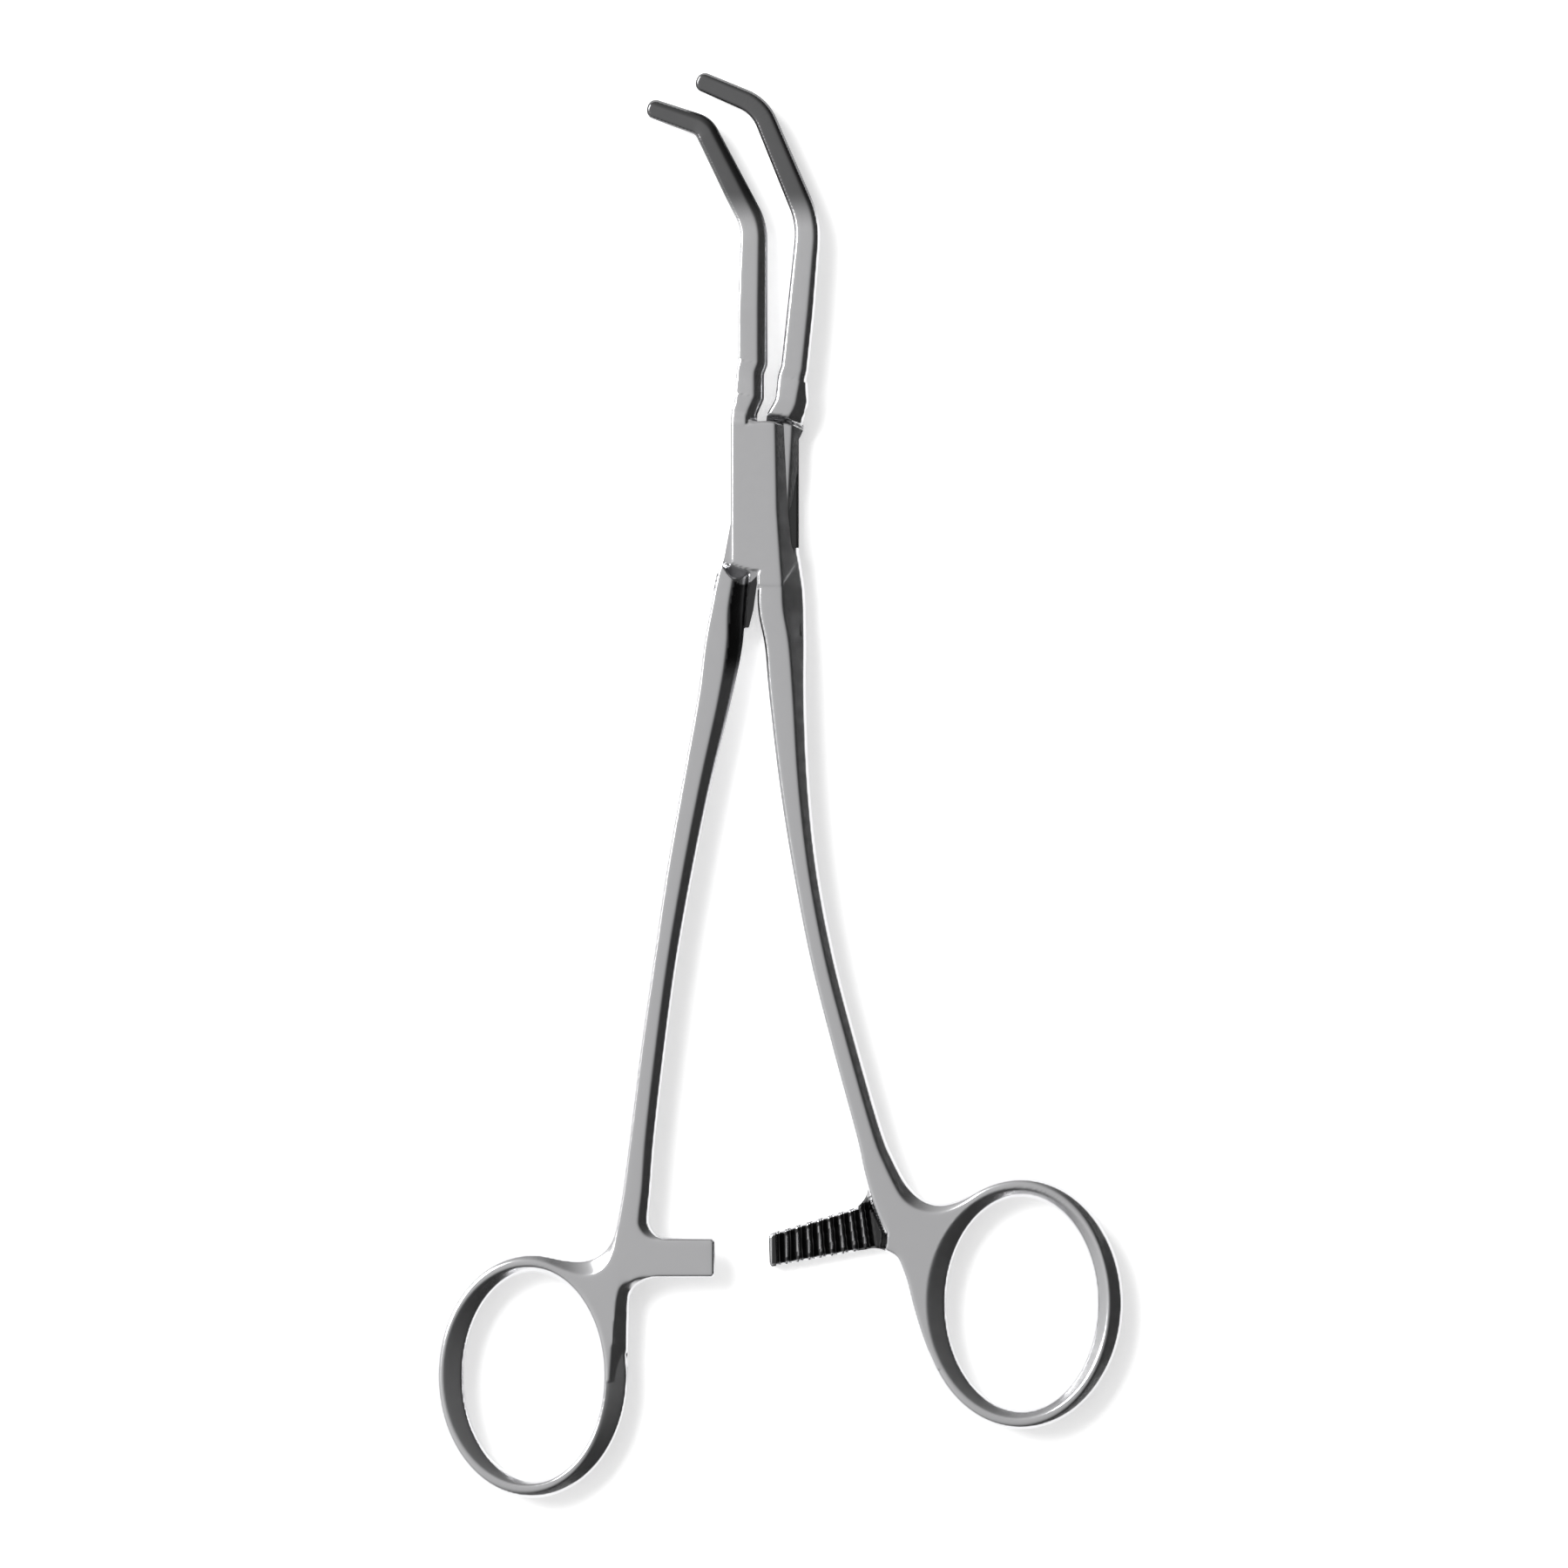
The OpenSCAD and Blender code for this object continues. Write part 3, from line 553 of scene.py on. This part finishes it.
def ring_field(x, y, centre, bore, crest, swing):
    """Depth inside the band, its front and back, the depth inside the oval on which its crest ends
    outward, the distance from the opening and the drop of the inner bevel. The front is two planes
    that fall away from the crest: its share of the band, from the opening, is crest - swing x cos."""
    hw, hh = bore[0] / 2, bore[1] / 2
    out = ellipse_depth(x, y, centre, hw + BAND_SIDE, hh + BAND_END)
    into = -ellipse_depth(x, y, centre, hw, hh)
    band = np.maximum(into + out, 1e-6)
    share = into / band
    u, v = (x - centre[0]) / hw, (y - centre[1]) / hh
    cosine = u / np.hypot(u, v)
    top_share = crest - swing * cosine
    flat = FLAT_SIDE + (FLAT_END - FLAT_SIDE) * (1 - cosine**2)
    inner = RING_FALL * soft(top_share - flat - share, CREST_SOFT) / (top_share - flat)
    outer = RING_FALL * soft(share - top_share - flat, CREST_SOFT) / (1 - top_share - flat)
    depth = np.minimum(into, out)
    rim = edge_fall(depth)
    fall = np.clip(inner + outer, 0, RING_FALL_MOST) + rim
    crest_depth = (top_share + flat - share) * band
    return (depth, RING_THICK - fall, fall), out, crest_depth, into, inner + rim * (into < out)


def yoke_field(x, y, shank, centre, bore, out, crest, bar, until):
    """Depth inside the yoke's outline, inside its flat front and inside the bar, and the heights of
    its faces. Outline and flat are the shank, the ring's oval and the bar, joined with rounds: once
    with their whole widths and once with their flats. The round between shank and ring fades where
    they run side by side, by the cosine of the angle between the ways in which their depths rise,
    and towards the height until, where the shank ends within the band."""
    side, _, _, c, left_way = limb_places(shank, x, y)
    stub = polygon_depth(x, y, bar)
    span = np.minimum(YOKE_Y - y, y - until)
    steep_x = -(x - centre[0]) / (bore[0] / 2 + BAND_SIDE)**2
    steep_y = -(y - centre[1]) / (bore[1] / 2 + BAND_END)**2
    along = (left_way[0] * steep_x + left_way[1] * steep_y) / np.maximum(np.hypot(steep_x, steep_y), 1e-9)
    crotch = CROTCH_R * (1 - eased(-np.sign(side) * along, *BESIDE)) * eased(y - until, *CROTCH_FADE)

    def union(left, right, oval, inset):
        limb = np.minimum(np.minimum(c[:, 2] - left - side, c[:, 3] - right + side), span)
        both = joined(limb, oval, crotch)
        return np.maximum(both, joined(np.maximum(limb, oval), stub - inset, BAR_CORNER_R))

    return union(0, 0, out, 0), union(c[:, 6], c[:, 7], crest, BAR_BEVEL), stub, c[:, 5], c[:, 4]


def teeth(x, y, first, low, high):
    """Depth of the saw teeth below the face, from the angle about the pivot in pitches:
    a steep side, a slope over the rest, and a flat land."""
    pitch = SHANK_LENGTH * tan(TOOTH_ANGLE)
    s = (np.arctan2(x, -y) - first) / TOOTH_ANGLE
    k = np.floor(s + 0.5)
    d = (s - k) * pitch
    half = (pitch - TOOTH_LAND) / 2
    root = STEEP - half
    down = np.where(d < root, (d + half) / STEEP, (half - d) / (half - root))
    return TOOTH_DEPTH * np.clip(down, 0, 1) * (k >= low) * (k <= high)


print("rings at", LEFT_RING, RIGHT_RING)

# %% [markdown]
# The box half is the female half: left jaw, slotted box, right shank and ring, and
# the rear ratchet bar with its teeth to the front. Around the slot it is built in
# three layers, a cheek, the slot level and a cheek, as the broached steel is.

# %% Heights of the box half
BOX_TOP_Y, BOX_LOW_Y = 11.2, -17.6
BEVEL_Y, BEVEL_X = [-12, -6.6, -1.6, 9.8], [2.2, 1.8, 1.47, 1.25]
CHEEK_EDGE_Y, CHEEK_EDGE_X = [-9, -6, -1.5, CHEEK_R], [4.4, 3.3, 2.9, 2.35]
JAW_STEP, STEP_Y = 0.32, (CHEEK_R - 0.3, ROOT_Y + 0.2)
TOUCH, LAYER_LEAST = 0.3, 0.01
REAR_SCOOP, REAR_SCOOP_R, SCOOP_WALL = (5.8, L + 2.2), 9.0, 4.0
REAR_TEETH, REAR_BACK, WEB_FALL, INNER_LEAST = 8, 0.6, 1.9, 0.03
CROTCH_LOW = CHEEK_R + 7.4
SLOT_OUT = HALF_CHEEK + 1.5
slot_plan = [[SLOT_OUT, -6.2], [SLOT_OUT, ROOT_Y + 0.4], [ROOT_X, ROOT_Y + 0.4], [ROOT_X, ROOT_Y - 0.4],
             [-3, 6.6], [-SLOT_OUT, 6.2], [-SLOT_OUT, -CROTCH_LOW], [-0.15, -CROTCH_LOW],
             [0.3, 2.6 - CROTCH_LOW], [1.1, 0.2 - ROOT_Y], [3, -6.6]]
box_upper = [[-4.3, 5], [-2.2, 5], [-2.2, ROOT_Y + 0.2],
             [0.1 - HALF_CHEEK, ROOT_Y + 0.2], [-HALF_CHEEK, ROOT_Y - 0.6]]
box_lower = [[3.9, -4], [1.6, -5], [-1, 0.7 - ROOT_Y],
             [-0.97, -1 - ROOT_Y], [2.2, -1 - ROOT_Y], [3.9, 0.6 - CHEEK_R]]


def over(parts):
    """The heights of several solids on one place: the highest front and the lowest back of those
    that reach it, or nearly do."""
    depth, top, low = parts[0]
    for d, t, b in parts[1:]:
        here, there = d > -TOUCH, depth > -TOUCH
        top = np.where(here & there, np.maximum(top, t), np.where(d > depth, t, top))
        low = np.where(here & there, np.minimum(low, b), np.where(d > depth, b, low))
        depth = np.maximum(depth, d)
    return depth, top, low


def crossings(x, y):
    """All crossings of the grid lines, as flat lists."""
    gx, gy = np.meshgrid(x, y)
    return gx.ravel(), gy.ravel(), gx.shape


def inside_ring(solid, into, inner):
    """A solid with the ring's opening and its inner bevels cut out."""
    depth, top, low = solid
    here = (inner > INNER_LEAST) & (np.abs(into) < BAND_SIDE + 1)
    return (np.minimum(depth, into), np.where(here, np.minimum(top, RING_THICK + INNER_LEAST - inner), top),
            np.where(here, np.maximum(low, inner - INNER_LEAST), low))


def box_half_field(gx, gy):
    """Depth, front and back of the box half, before the slot."""
    disc = np.minimum(CHEEK_R - np.hypot(gx, gy), HALF_CHEEK - np.abs(gx))
    lock = np.maximum(disc, np.maximum(polygon_depth(gx, gy, box_upper), polygon_depth(gx, gy, box_lower)))
    u = gx - np.interp(gy, BEVEL_Y, BEVEL_X)
    lock_top = BOX_THICK - SLOPE * soft(u) - edge_fall(lock) - JAW_STEP * eased(gy, *STEP_Y)
    parts = [(lock, lock_top, edge_fall(lock)), limb_field(right_shank, gx, gy),
             limb_field(left_jaw, gx, gy, TIP_R, JAW_SLOPE)]
    if gy.min() > YOKE_Y:
        return over(parts)
    ring, out, crest, into, inner = ring_field(gx, gy, RIGHT_RING, RIGHT_BORE, *RIGHT_CREST)
    web, flat, stub, face, back = yoke_field(
        gx, gy, right_shank, RIGHT_RING, RIGHT_BORE, out, crest, rear_bar, RIGHT_UNTIL)
    scoop = REAR_SCOOP_R - np.hypot(gx - REAR_SCOOP[0], gy - REAR_SCOOP[1])
    saw = teeth(gx, gy, REAR_FIRST - TOOTH_ANGLE / 2, 0, REAR_TEETH)
    floor = REAR_FACE - saw - edge_fall(web) + SCOOP_WALL * np.maximum(-scoop, 0)
    web_fall = np.minimum(SLOPE * soft(-flat), WEB_FALL) + edge_fall(web)
    back_fall = np.where(stub > 0, np.minimum(web_fall, REAR_BACK), web_fall)
    yoke = (web, np.minimum(face - web_fall, floor), back + back_fall)
    return inside_ring(over(parts + [yoke, ring]), into, inner)


print("box half: slot", len(slot_plan), "corners, bar", REAR_TEETH, "teeth")

# %% [markdown]
# Shade is painted into the steel's colour. Painted shade darkens the jaws beyond their first
# bend, and painted shadow darkens the recesses: the slot's faces and the grooves between the
# teeth. The lands between two grooves get less painted shade, short of the bar's edges. This
# painted shade is a number at every point, 1 for the steel's own colour and 0 for black.

# %% Painted shade of the box half's steel
# Painted shade levels, as factors on the steel's colour: jaw ends, slot faces, grooves and lands.
JAW_END_PAINTED_SHADE, SLOT_PAINTED_SHADOW, GROOVE_PAINTED_SHADOW, LAND_PAINTED_SHADE = 0.25, 0.1, 0.1, 0.6
# The painted shade on the jaws fades in between these two heights.
JAW_PAINTED_SHADE_Y = (33.5, 38.5)
SLOT_LEVEL = 0.02
SCOOP_RIM, BAR_RIM, CREST_INSET, CORNER_X = 0.65, 0.3, 0.8, 11.8
CUT_Y, CUT_LOW, CUT_HIGH = YOKE_Y - 4, 1, RING_THICK - 0.5


def jaw_painted_shade(x, y, z):
    """Painted shade: the jaws are painted darker beyond their first bend."""
    return 1 - (1 - JAW_END_PAINTED_SHADE) * eased(y, *JAW_PAINTED_SHADE_Y)


def box_painted_shade(x, y, z):
    """The jaws' painted shade, with painted shadow on the slot's faces and in the ratchet's grooves, and less
    of it on the lands.
    """
    # Painted shadow on the slot's faces, the floor of the recess between the cheeks.
    inside = (np.abs(z - CHEEK_THICK) < SLOT_LEVEL) & (np.abs(y) < CHEEK_R)
    scoop = REAR_SCOOP_R + SCOOP_RIM - np.hypot(x - REAR_SCOOP[0], y - REAR_SCOOP[1])
    bar = polygon_depth(x, y, rear_bar)
    first = REAR_FIRST - TOOTH_ANGLE / 2
    s = (np.arctan2(x, -y) - first) / TOOTH_ANGLE
    # The lands between the grooves get less painted shade than the grooves.
    crest = (teeth(x, y, first, 0, REAR_TEETH) == 0) & (s > 0) & (s < REAR_TEETH) & (bar > CREST_INSET)
    # Painted shadow in the ratchet's grooves and scoop.
    cut = (scoop > 0) & (y < CUT_Y) & ((bar > BAR_RIM) | (x > CORNER_X)) & (z > CUT_LOW) & (z < CUT_HIGH)
    return np.where(inside, SLOT_PAINTED_SHADOW, np.where(cut, np.where(crest, LAND_PAINTED_SHADE, GROOVE_PAINTED_SHADOW), jaw_painted_shade(x, y, z)))


print("tones: jaw ends", JAW_END_PAINTED_SHADE, "slot", SLOT_PAINTED_SHADOW, "grooves", GROOVE_PAINTED_SHADOW)

# %% [markdown]
# The grid is finer where the bevels and the teeth are narrow. Above and below the lock
# the half is one slab each, and at the lock it is the three layers.

# %% Box half
FINE, PLAIN, TOOTH_STEP = 0.17, 0.2, 0.15
lines_x = ruled((-38, -4.5, FINE), (-4.5, 0.2, FINE), (0.2, 13.2, TOOTH_STEP), (13.2, 47, FINE))
lines_top = ruled((BOX_TOP_Y, 65, FINE))
lines_mid = ruled((BOX_LOW_Y, BOX_TOP_Y, PLAIN))
lines_low = ruled((-121, L - 3, FINE), (L - 3, L + 3, FINE), (L + 3, -80, FINE), (-80, BOX_LOW_Y, PLAIN))

slabs = []
for lines_y, x_from, x_to in ((lines_top, -38, 6), (lines_low, -3, 47)):
    x = lines_x[(lines_x >= x_from) & (lines_x <= x_to)]
    gx, gy, shape = crossings(x, lines_y)
    depth, top, low = (g.reshape(shape) for g in box_half_field(gx, gy))
    slabs.append(slab(x, lines_y, depth, top, low))
x = lines_x[(lines_x >= -8) & (lines_x <= 8)]
gx, gy, shape = crossings(x, lines_mid)
depth, top, low = (g.reshape(shape) for g in box_half_field(gx, gy))
slot = polygon_depth(gx, gy, slot_plan).reshape(shape)
back_top = np.minimum(top, CHEEK_THICK - np.where(slot > 0, edge_fall(depth), 0))
slabs.append(slab(x, lines_mid, depth, back_top, np.minimum(low, back_top - LAYER_LEAST)))
mid_here = np.minimum(np.minimum(depth, -slot), top - CHEEK_THICK)
slabs.append(slab(x, lines_mid, mid_here, np.minimum(top, SLOT_HIGH), np.maximum(low, CHEEK_THICK), top))
cheek_edge = np.interp(gy, CHEEK_EDGE_Y, CHEEK_EDGE_X).reshape(shape)
front_here = np.minimum(depth, np.minimum(top - SLOT_HIGH, cheek_edge - gx.reshape(shape)))
slabs.append(slab(x, lines_mid, front_here, top, np.full(shape, SLOT_HIGH)))
box_half = steel_piece("box_half_steel", slabs, box_painted_shade)
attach(box_half, "box_body")
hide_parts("box_half")

# %% [markdown]
# The tang half is the male half: right jaw, thin tang, left shank and ring, and the
# front ratchet bar. Round the cheek ends its full thickness starts on a sloping
# shoulder, so its heights are held under a cone about the pivot. Below the pivot the
# cone spreads to a shoulder in the shape of a lens.

# %% Heights of the tang half
TANG_LOW, TANG_HIGH = CHEEK_THICK + TANG_PLAY, SLOT_HIGH - TANG_PLAY
PIN_R, TANG_BORE_R = 1.6, 1.65
LENS_X, LENS_HALF, LENS_WIDTH, LENS_LEAST = -3.2, 2.4, 1.8, 0.6
WEDGE_Y, WEDGE_X, TANG_EDGE = [-6, -1.5, ROOT_Y], [2.6, 2.85, 3.5], 0.3
FOOT_Y, FOOT_X = [6.5, 7.2, 8.45, 11, 13], [4.2, 4.3, 4.87, 5.1, 9]
FRONT_TEETH = 4
FRONT_SCOOP, FRONT_SCOOP_R = (-6.0, FRONT_Y), 8.6
tang_plan = [[-0.9, -ROOT_Y], [1.3, -5], [3.3, -1.2], [4.1, 3.2], [4.4, CHEEK_R - 0.2], [4.8, ROOT_Y],
             [0.45, ROOT_Y], [-1.3, 5], [-3.3, 1.2], [-4.3, -3.2], [-5.1, -7.6], [-5.8, -ROOT_Y],
             [-4.5, 0.4 - CROTCH_LOW], [-2, 0.4 - CROTCH_LOW], [-1.43, 2.7 - CROTCH_LOW]]


def lens_width(x):
    """Width of the lower shoulder, an arc over its middle that is negative beyond its ends."""
    return LENS_WIDTH * (1 - ((x - LENS_X) / LENS_HALF)**2)


def tang_half_field(gx, gy):
    """Depth, front and back of the tang half. Inside the cone the limbs keep only the tang's thickness."""
    parts = [limb_field(left_shank, gx, gy, slope=JAW_SLOPE),
             limb_field(right_jaw, gx, gy, TIP_R, JAW_SLOPE)]
    ring, out, crest, into, inner = ring_field(gx, gy, LEFT_RING, LEFT_BORE, *LEFT_CREST)
    web, flat, _, face, back = yoke_field(
        gx, gy, left_shank, LEFT_RING, LEFT_BORE, out, crest, front_bar, LEFT_UNTIL)
    scoop = FRONT_SCOOP_R - np.hypot(gx - FRONT_SCOOP[0], gy - FRONT_SCOOP[1])
    saw = teeth(gx, gy, FRONT_FIRST - FRONT_TEETH * TOOTH_ANGLE, 0, FRONT_TEETH)
    ceiling = FRONT_FACE + saw - SCOOP_WALL * np.maximum(-scoop, 0)
    web_fall = np.minimum(SLOPE * soft(-flat), WEB_FALL) + edge_fall(web)
    yoke = (web, face - web_fall, np.maximum(back + web_fall, ceiling))
    depth, top, low = inside_ring(over(parts + [yoke, ring]), into, inner)
    r = np.hypot(gx, gy)
    wedge = np.interp(gy, WEDGE_Y, WEDGE_X)
    plate_top = TANG_HIGH - np.minimum(SLOPE * soft(gx - wedge), TANG_HIGH - TANG_LOW - TANG_EDGE)
    rise = (r - SHOULDER_R) / np.where(gy < 0, np.maximum(lens_width(gx), LENS_LEAST), SHOULDER_SLOPE)
    top = np.minimum(top, plate_top + np.maximum(rise, 0) * (BOX_THICK - TANG_HIGH))
    low = np.maximum(low, TANG_LOW - np.maximum(rise, 0) * TANG_LOW)
    plate = polygon_depth(gx, gy, tang_plan)
    depth, top, low = over([(depth, top, low), (plate, plate_top, np.full(len(gx), TANG_LOW))])
    foot = np.where(gy > FOOT_Y[0], np.interp(gy, FOOT_Y, FOOT_X) - gx, FAR)
    return np.minimum(np.minimum(depth, foot), r - TANG_BORE_R), top, low


print("tang half: tang from", TANG_LOW, "to", round(TANG_HIGH, 2), "mm")

# %% [markdown]
# The shoulders get a little painted shade against the faces. The ledge between the shanks,
# which lies in the other half's slot when the clamp is shut, gets painted shadow.

# %% Tang half
SHOULDER_TOP, SHOULDER_PAINTED_SHADE, SHOULDER_RIM = 5.15, 0.8, 0.1
LEDGE_X, LEDGE_END, LEDGE_FADE, LEDGE_PAINTED_SHADOW = -6.5, -24.0, 4, 0.1


def tang_painted_shade(x, y, z):
    """The jaws' painted shade, with a little more painted shade on the shoulders and painted shadow on the
    ledge.
    """
    r = np.hypot(x, y)
    band = np.where(y < 0, np.maximum(lens_width(x), 0), SHOULDER_SLOPE + SHOULDER_RIM)
    front = (z > MID_Z) & (z < SHOULDER_TOP)
    # Painted shade on the sloping shoulders.
    shoulder = front & (r > SHOULDER_R - SHOULDER_RIM) & (r < SHOULDER_R + band)
    # Painted shadow on the ledge, which lies in the other half's slot, fading out down the shank.
    ledge = front & ~shoulder & (y < -SHOULDER_R) & (x > LEDGE_X)
    share = eased(y, LEDGE_END, LEDGE_END + LEDGE_FADE)
    return np.where(shoulder, SHOULDER_PAINTED_SHADE, np.where(ledge, 1 - (1 - LEDGE_PAINTED_SHADOW) * share, jaw_painted_shade(x, y, z)))


x = ruled((-42, 12, FINE))
y = ruled((-127, -80, FINE), (-80, -20, PLAIN), (-20, 65, FINE))
gx, gy, shape = crossings(x, y)
depth, top, low = (g.reshape(shape) for g in tang_half_field(gx, gy))
tang_half = steel_piece("tang_half_steel", [slab(x, y, depth, top, low)], tang_painted_shade)
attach(tang_half, "tang_body")
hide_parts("tang_half")

# %% [markdown]
# The pin is pressed through both cheeks and ground flush, so that it can't be
# seen from outside. It is a turned cylinder, a profile spun about the pivot.

# %% Pivot pin
PIN_STEPS = 64
PIN_SHY, PIN_TOP, PIN_EDGE = 0.05, 4.9, 0.1
profile = np.array([[0, PIN_SHY], [PIN_R - PIN_EDGE, PIN_SHY], [PIN_R, PIN_SHY + PIN_EDGE],
                    [PIN_R, PIN_TOP - PIN_EDGE], [PIN_R - PIN_EDGE, PIN_TOP], [0, PIN_TOP]])
angle = np.arange(PIN_STEPS) * 2 * np.pi / PIN_STEPS
ring = profile[1:-1]
verts = np.stack([np.outer(np.cos(angle), ring[:, 0]), np.outer(np.sin(angle), ring[:, 0]),
                  np.tile(ring[:, 1], (PIN_STEPS, 1))], -1).reshape(-1, 3)
verts = np.vstack([verts, [0, 0, PIN_SHY], [0, 0, PIN_TOP]]) * MM
n = len(ring)
i = np.arange(PIN_STEPS)
j = (i + 1) % PIN_STEPS
quads = [np.stack([i * n + k, j * n + k, j * n + k + 1, i * n + k + 1], 1) for k in range(n - 1)]
caps = [np.stack([j * n, i * n, np.full(PIN_STEPS, PIN_STEPS * n)], 1),
        np.stack([i * n + n - 1, j * n + n - 1, np.full(PIN_STEPS, PIN_STEPS * n + 1)], 1)]
mesh = bpy.data.meshes.new("pivot_pin_steel")
mesh.from_pydata(verts.tolist(), [], [f for q in quads + caps for f in q.tolist()])
pin = bpy.data.objects.new("pivot_pin_steel", mesh)
bpy.context.scene.collection.objects.link(pin)
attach(pin, "box_body")
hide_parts("pivot_pin")
# The pin gets no painted shade: its factor is 1 everywhere.
mesh.attributes.new("painted_shade", "FLOAT", "POINT").data.foreach_set("value", np.ones(len(verts), np.float32))
print("pin:", len(mesh.polygons), "faces")

# %% [markdown]
# All three pieces are one stainless steel with a satin finish. Grinding leaves
# faint lines and polishing softens them, so the roughness and the height of the
# surface wander a little along the metal.

# %% Steel
STEEL_COLOUR, STEEL_ROUGHNESS, ROUGH_SPREAD = (0.62, 0.62, 0.63), 0.2, 0.05
GRAIN_SCALE, GRAIN_DETAIL, GRAIN_STRENGTH, GRAIN_HEIGHT = 900.0, 3.0, 0.15, 0.00003


def steel(name, base, roughness):
    """Metal whose roughness and relief follow a fine noise in the object's own coordinates.
    Its colour is the base times the painted shade, which darkens it towards black."""
    mat = bpy.data.materials.new(name)
    mat.use_nodes = True
    nodes, links = mat.node_tree.nodes, mat.node_tree.links
    shader = nodes["Principled BSDF"]
    shader.inputs["Metallic"].default_value = 1.0
    # Painted shade: the attribute mixes the base colour towards black.
    painted_shade = nodes.new("ShaderNodeAttribute")
    painted_shade.attribute_name = "painted_shade"
    colour = nodes.new("ShaderNodeMix")
    colour.data_type = "RGBA"
    colour.inputs["A"].default_value = (0, 0, 0, 1)
    colour.inputs["B"].default_value = (*base, 1)
    links.new(painted_shade.outputs["Fac"], colour.inputs["Factor"])
    links.new(colour.outputs["Result"], shader.inputs["Base Color"])
    place = nodes.new("ShaderNodeTexCoord")
    grain = nodes.new("ShaderNodeTexNoise")
    grain.inputs["Scale"].default_value = GRAIN_SCALE
    grain.inputs["Detail"].default_value = GRAIN_DETAIL
    links.new(place.outputs["Object"], grain.inputs["Vector"])
    spread = nodes.new("ShaderNodeMapRange")
    spread.inputs["To Min"].default_value = roughness - ROUGH_SPREAD
    spread.inputs["To Max"].default_value = roughness + ROUGH_SPREAD
    links.new(grain.outputs["Fac"], spread.inputs["Value"])
    links.new(spread.outputs["Result"], shader.inputs["Roughness"])
    bump = nodes.new("ShaderNodeBump")
    bump.inputs["Strength"].default_value = GRAIN_STRENGTH
    bump.inputs["Distance"].default_value = GRAIN_HEIGHT
    links.new(grain.outputs["Fac"], bump.inputs["Height"])
    links.new(bump.outputs["Normal"], shader.inputs["Normal"])
    return mat


satin = steel("satin_steel", STEEL_COLOUR, STEEL_ROUGHNESS)
for piece in (box_half, tang_half, pin):
    piece.data.materials.append(satin)

# %% [markdown]
# The studio: a large white floor, one soft light to the upper left, and walls that
# are bright on the left and dark on the right. Polished bevels mirror what stands
# beside them, so the dark side of the room is what turns the right-hand bevels dark.
# The floor glows a little where the camera or a reflection sees it, which makes the
# page white without more light on the steel, and it keeps the clamp's shadow.

# %% Studio
def area(name, size, at, power, aim):
    """A square soft light of the given side in metres, at a place and aimed at another."""
    light = bpy.data.lights.new(name, "AREA")
    light.size = size
    light.energy = power
    lamp = bpy.data.objects.new(name, light)
    lamp.location = at
    lamp.rotation_euler = (Vector(aim) - Vector(at)).to_track_quat("-Z", "Y").to_euler()
    bpy.context.scene.collection.objects.link(lamp)


def math_node(tree, kind, first, second):
    """A maths node fed by sockets or numbers."""
    node = tree.nodes.new("ShaderNodeMath")
    node.operation = kind
    for socket, value in zip(node.inputs, (first, second)):
        if isinstance(value, (int, float)):
            socket.default_value = value
        else:
            tree.links.new(value, socket)
    return node.outputs[0]


FLOOR_SIDE, FLOOR_GLOW, PAPER_WHITE, PAPER_ROUGHNESS = 3.0, 0.45, 0.93, 0.9
paper = bpy.data.materials.new("white_paper")
paper.use_nodes = True
tree = paper.node_tree
shader = tree.nodes["Principled BSDF"]
shader.inputs["Base Color"].default_value = (PAPER_WHITE, PAPER_WHITE, PAPER_WHITE, 1)
shader.inputs["Roughness"].default_value = PAPER_ROUGHNESS
shader.inputs["Specular IOR Level"].default_value = 0.0
shader.inputs["Emission Color"].default_value = (1, 1, 1, 1)
rays = tree.nodes.new("ShaderNodeLightPath").outputs
seen = math_node(tree, "MAXIMUM", rays["Is Camera Ray"], rays["Is Glossy Ray"])
seen = math_node(tree, "MAXIMUM", seen, rays["Is Transmission Ray"])
tree.links.new(math_node(tree, "MULTIPLY", seen, FLOOR_GLOW), shader.inputs["Emission Strength"])
half = FLOOR_SIDE / 2
mesh = bpy.data.meshes.new("floor")
corners = [(-half, -half, 0), (half, -half, 0), (half, half, 0), (-half, half, 0)]
mesh.from_pydata(corners, [], [(0, 1, 2, 3)])
mesh.materials.append(paper)
floor = bpy.data.objects.new("floor", mesh)
bpy.context.scene.collection.objects.link(floor)

TOWARDS_LIGHT = (-0.72, 0.25, 0.62)
DARK_SIDE, LIGHT_SIDE, DARK_UNTIL = 0.045, 0.78, -0.35
KEY_SIDE, KEY_PLACE, KEY_WATTS, KEY_AIM = 0.8, (-0.8, 0.5, 0.9), 22.0, (0, -0.03, 0)
world = bpy.data.worlds.new("studio")
bpy.context.scene.world = world
world.use_nodes = True
tree = world.node_tree
way = tree.nodes.new("ShaderNodeTexCoord").outputs["Generated"]
facing = tree.nodes.new("ShaderNodeVectorMath")
facing.operation = "DOT_PRODUCT"
facing.inputs[1].default_value = TOWARDS_LIGHT
tree.links.new(way, facing.inputs[0])
walls = tree.nodes.new("ShaderNodeMapRange")
walls.interpolation_type = "SMOOTHSTEP"
walls.inputs["From Min"].default_value = DARK_UNTIL
walls.inputs["From Max"].default_value = 1.0
walls.inputs["To Min"].default_value = DARK_SIDE
walls.inputs["To Max"].default_value = LIGHT_SIDE
tree.links.new(facing.outputs["Value"], walls.inputs["Value"])
tree.links.new(walls.outputs["Result"], tree.nodes["Background"].inputs["Color"])
area("key", KEY_SIDE, KEY_PLACE, KEY_WATTS, KEY_AIM)
print("studio ready")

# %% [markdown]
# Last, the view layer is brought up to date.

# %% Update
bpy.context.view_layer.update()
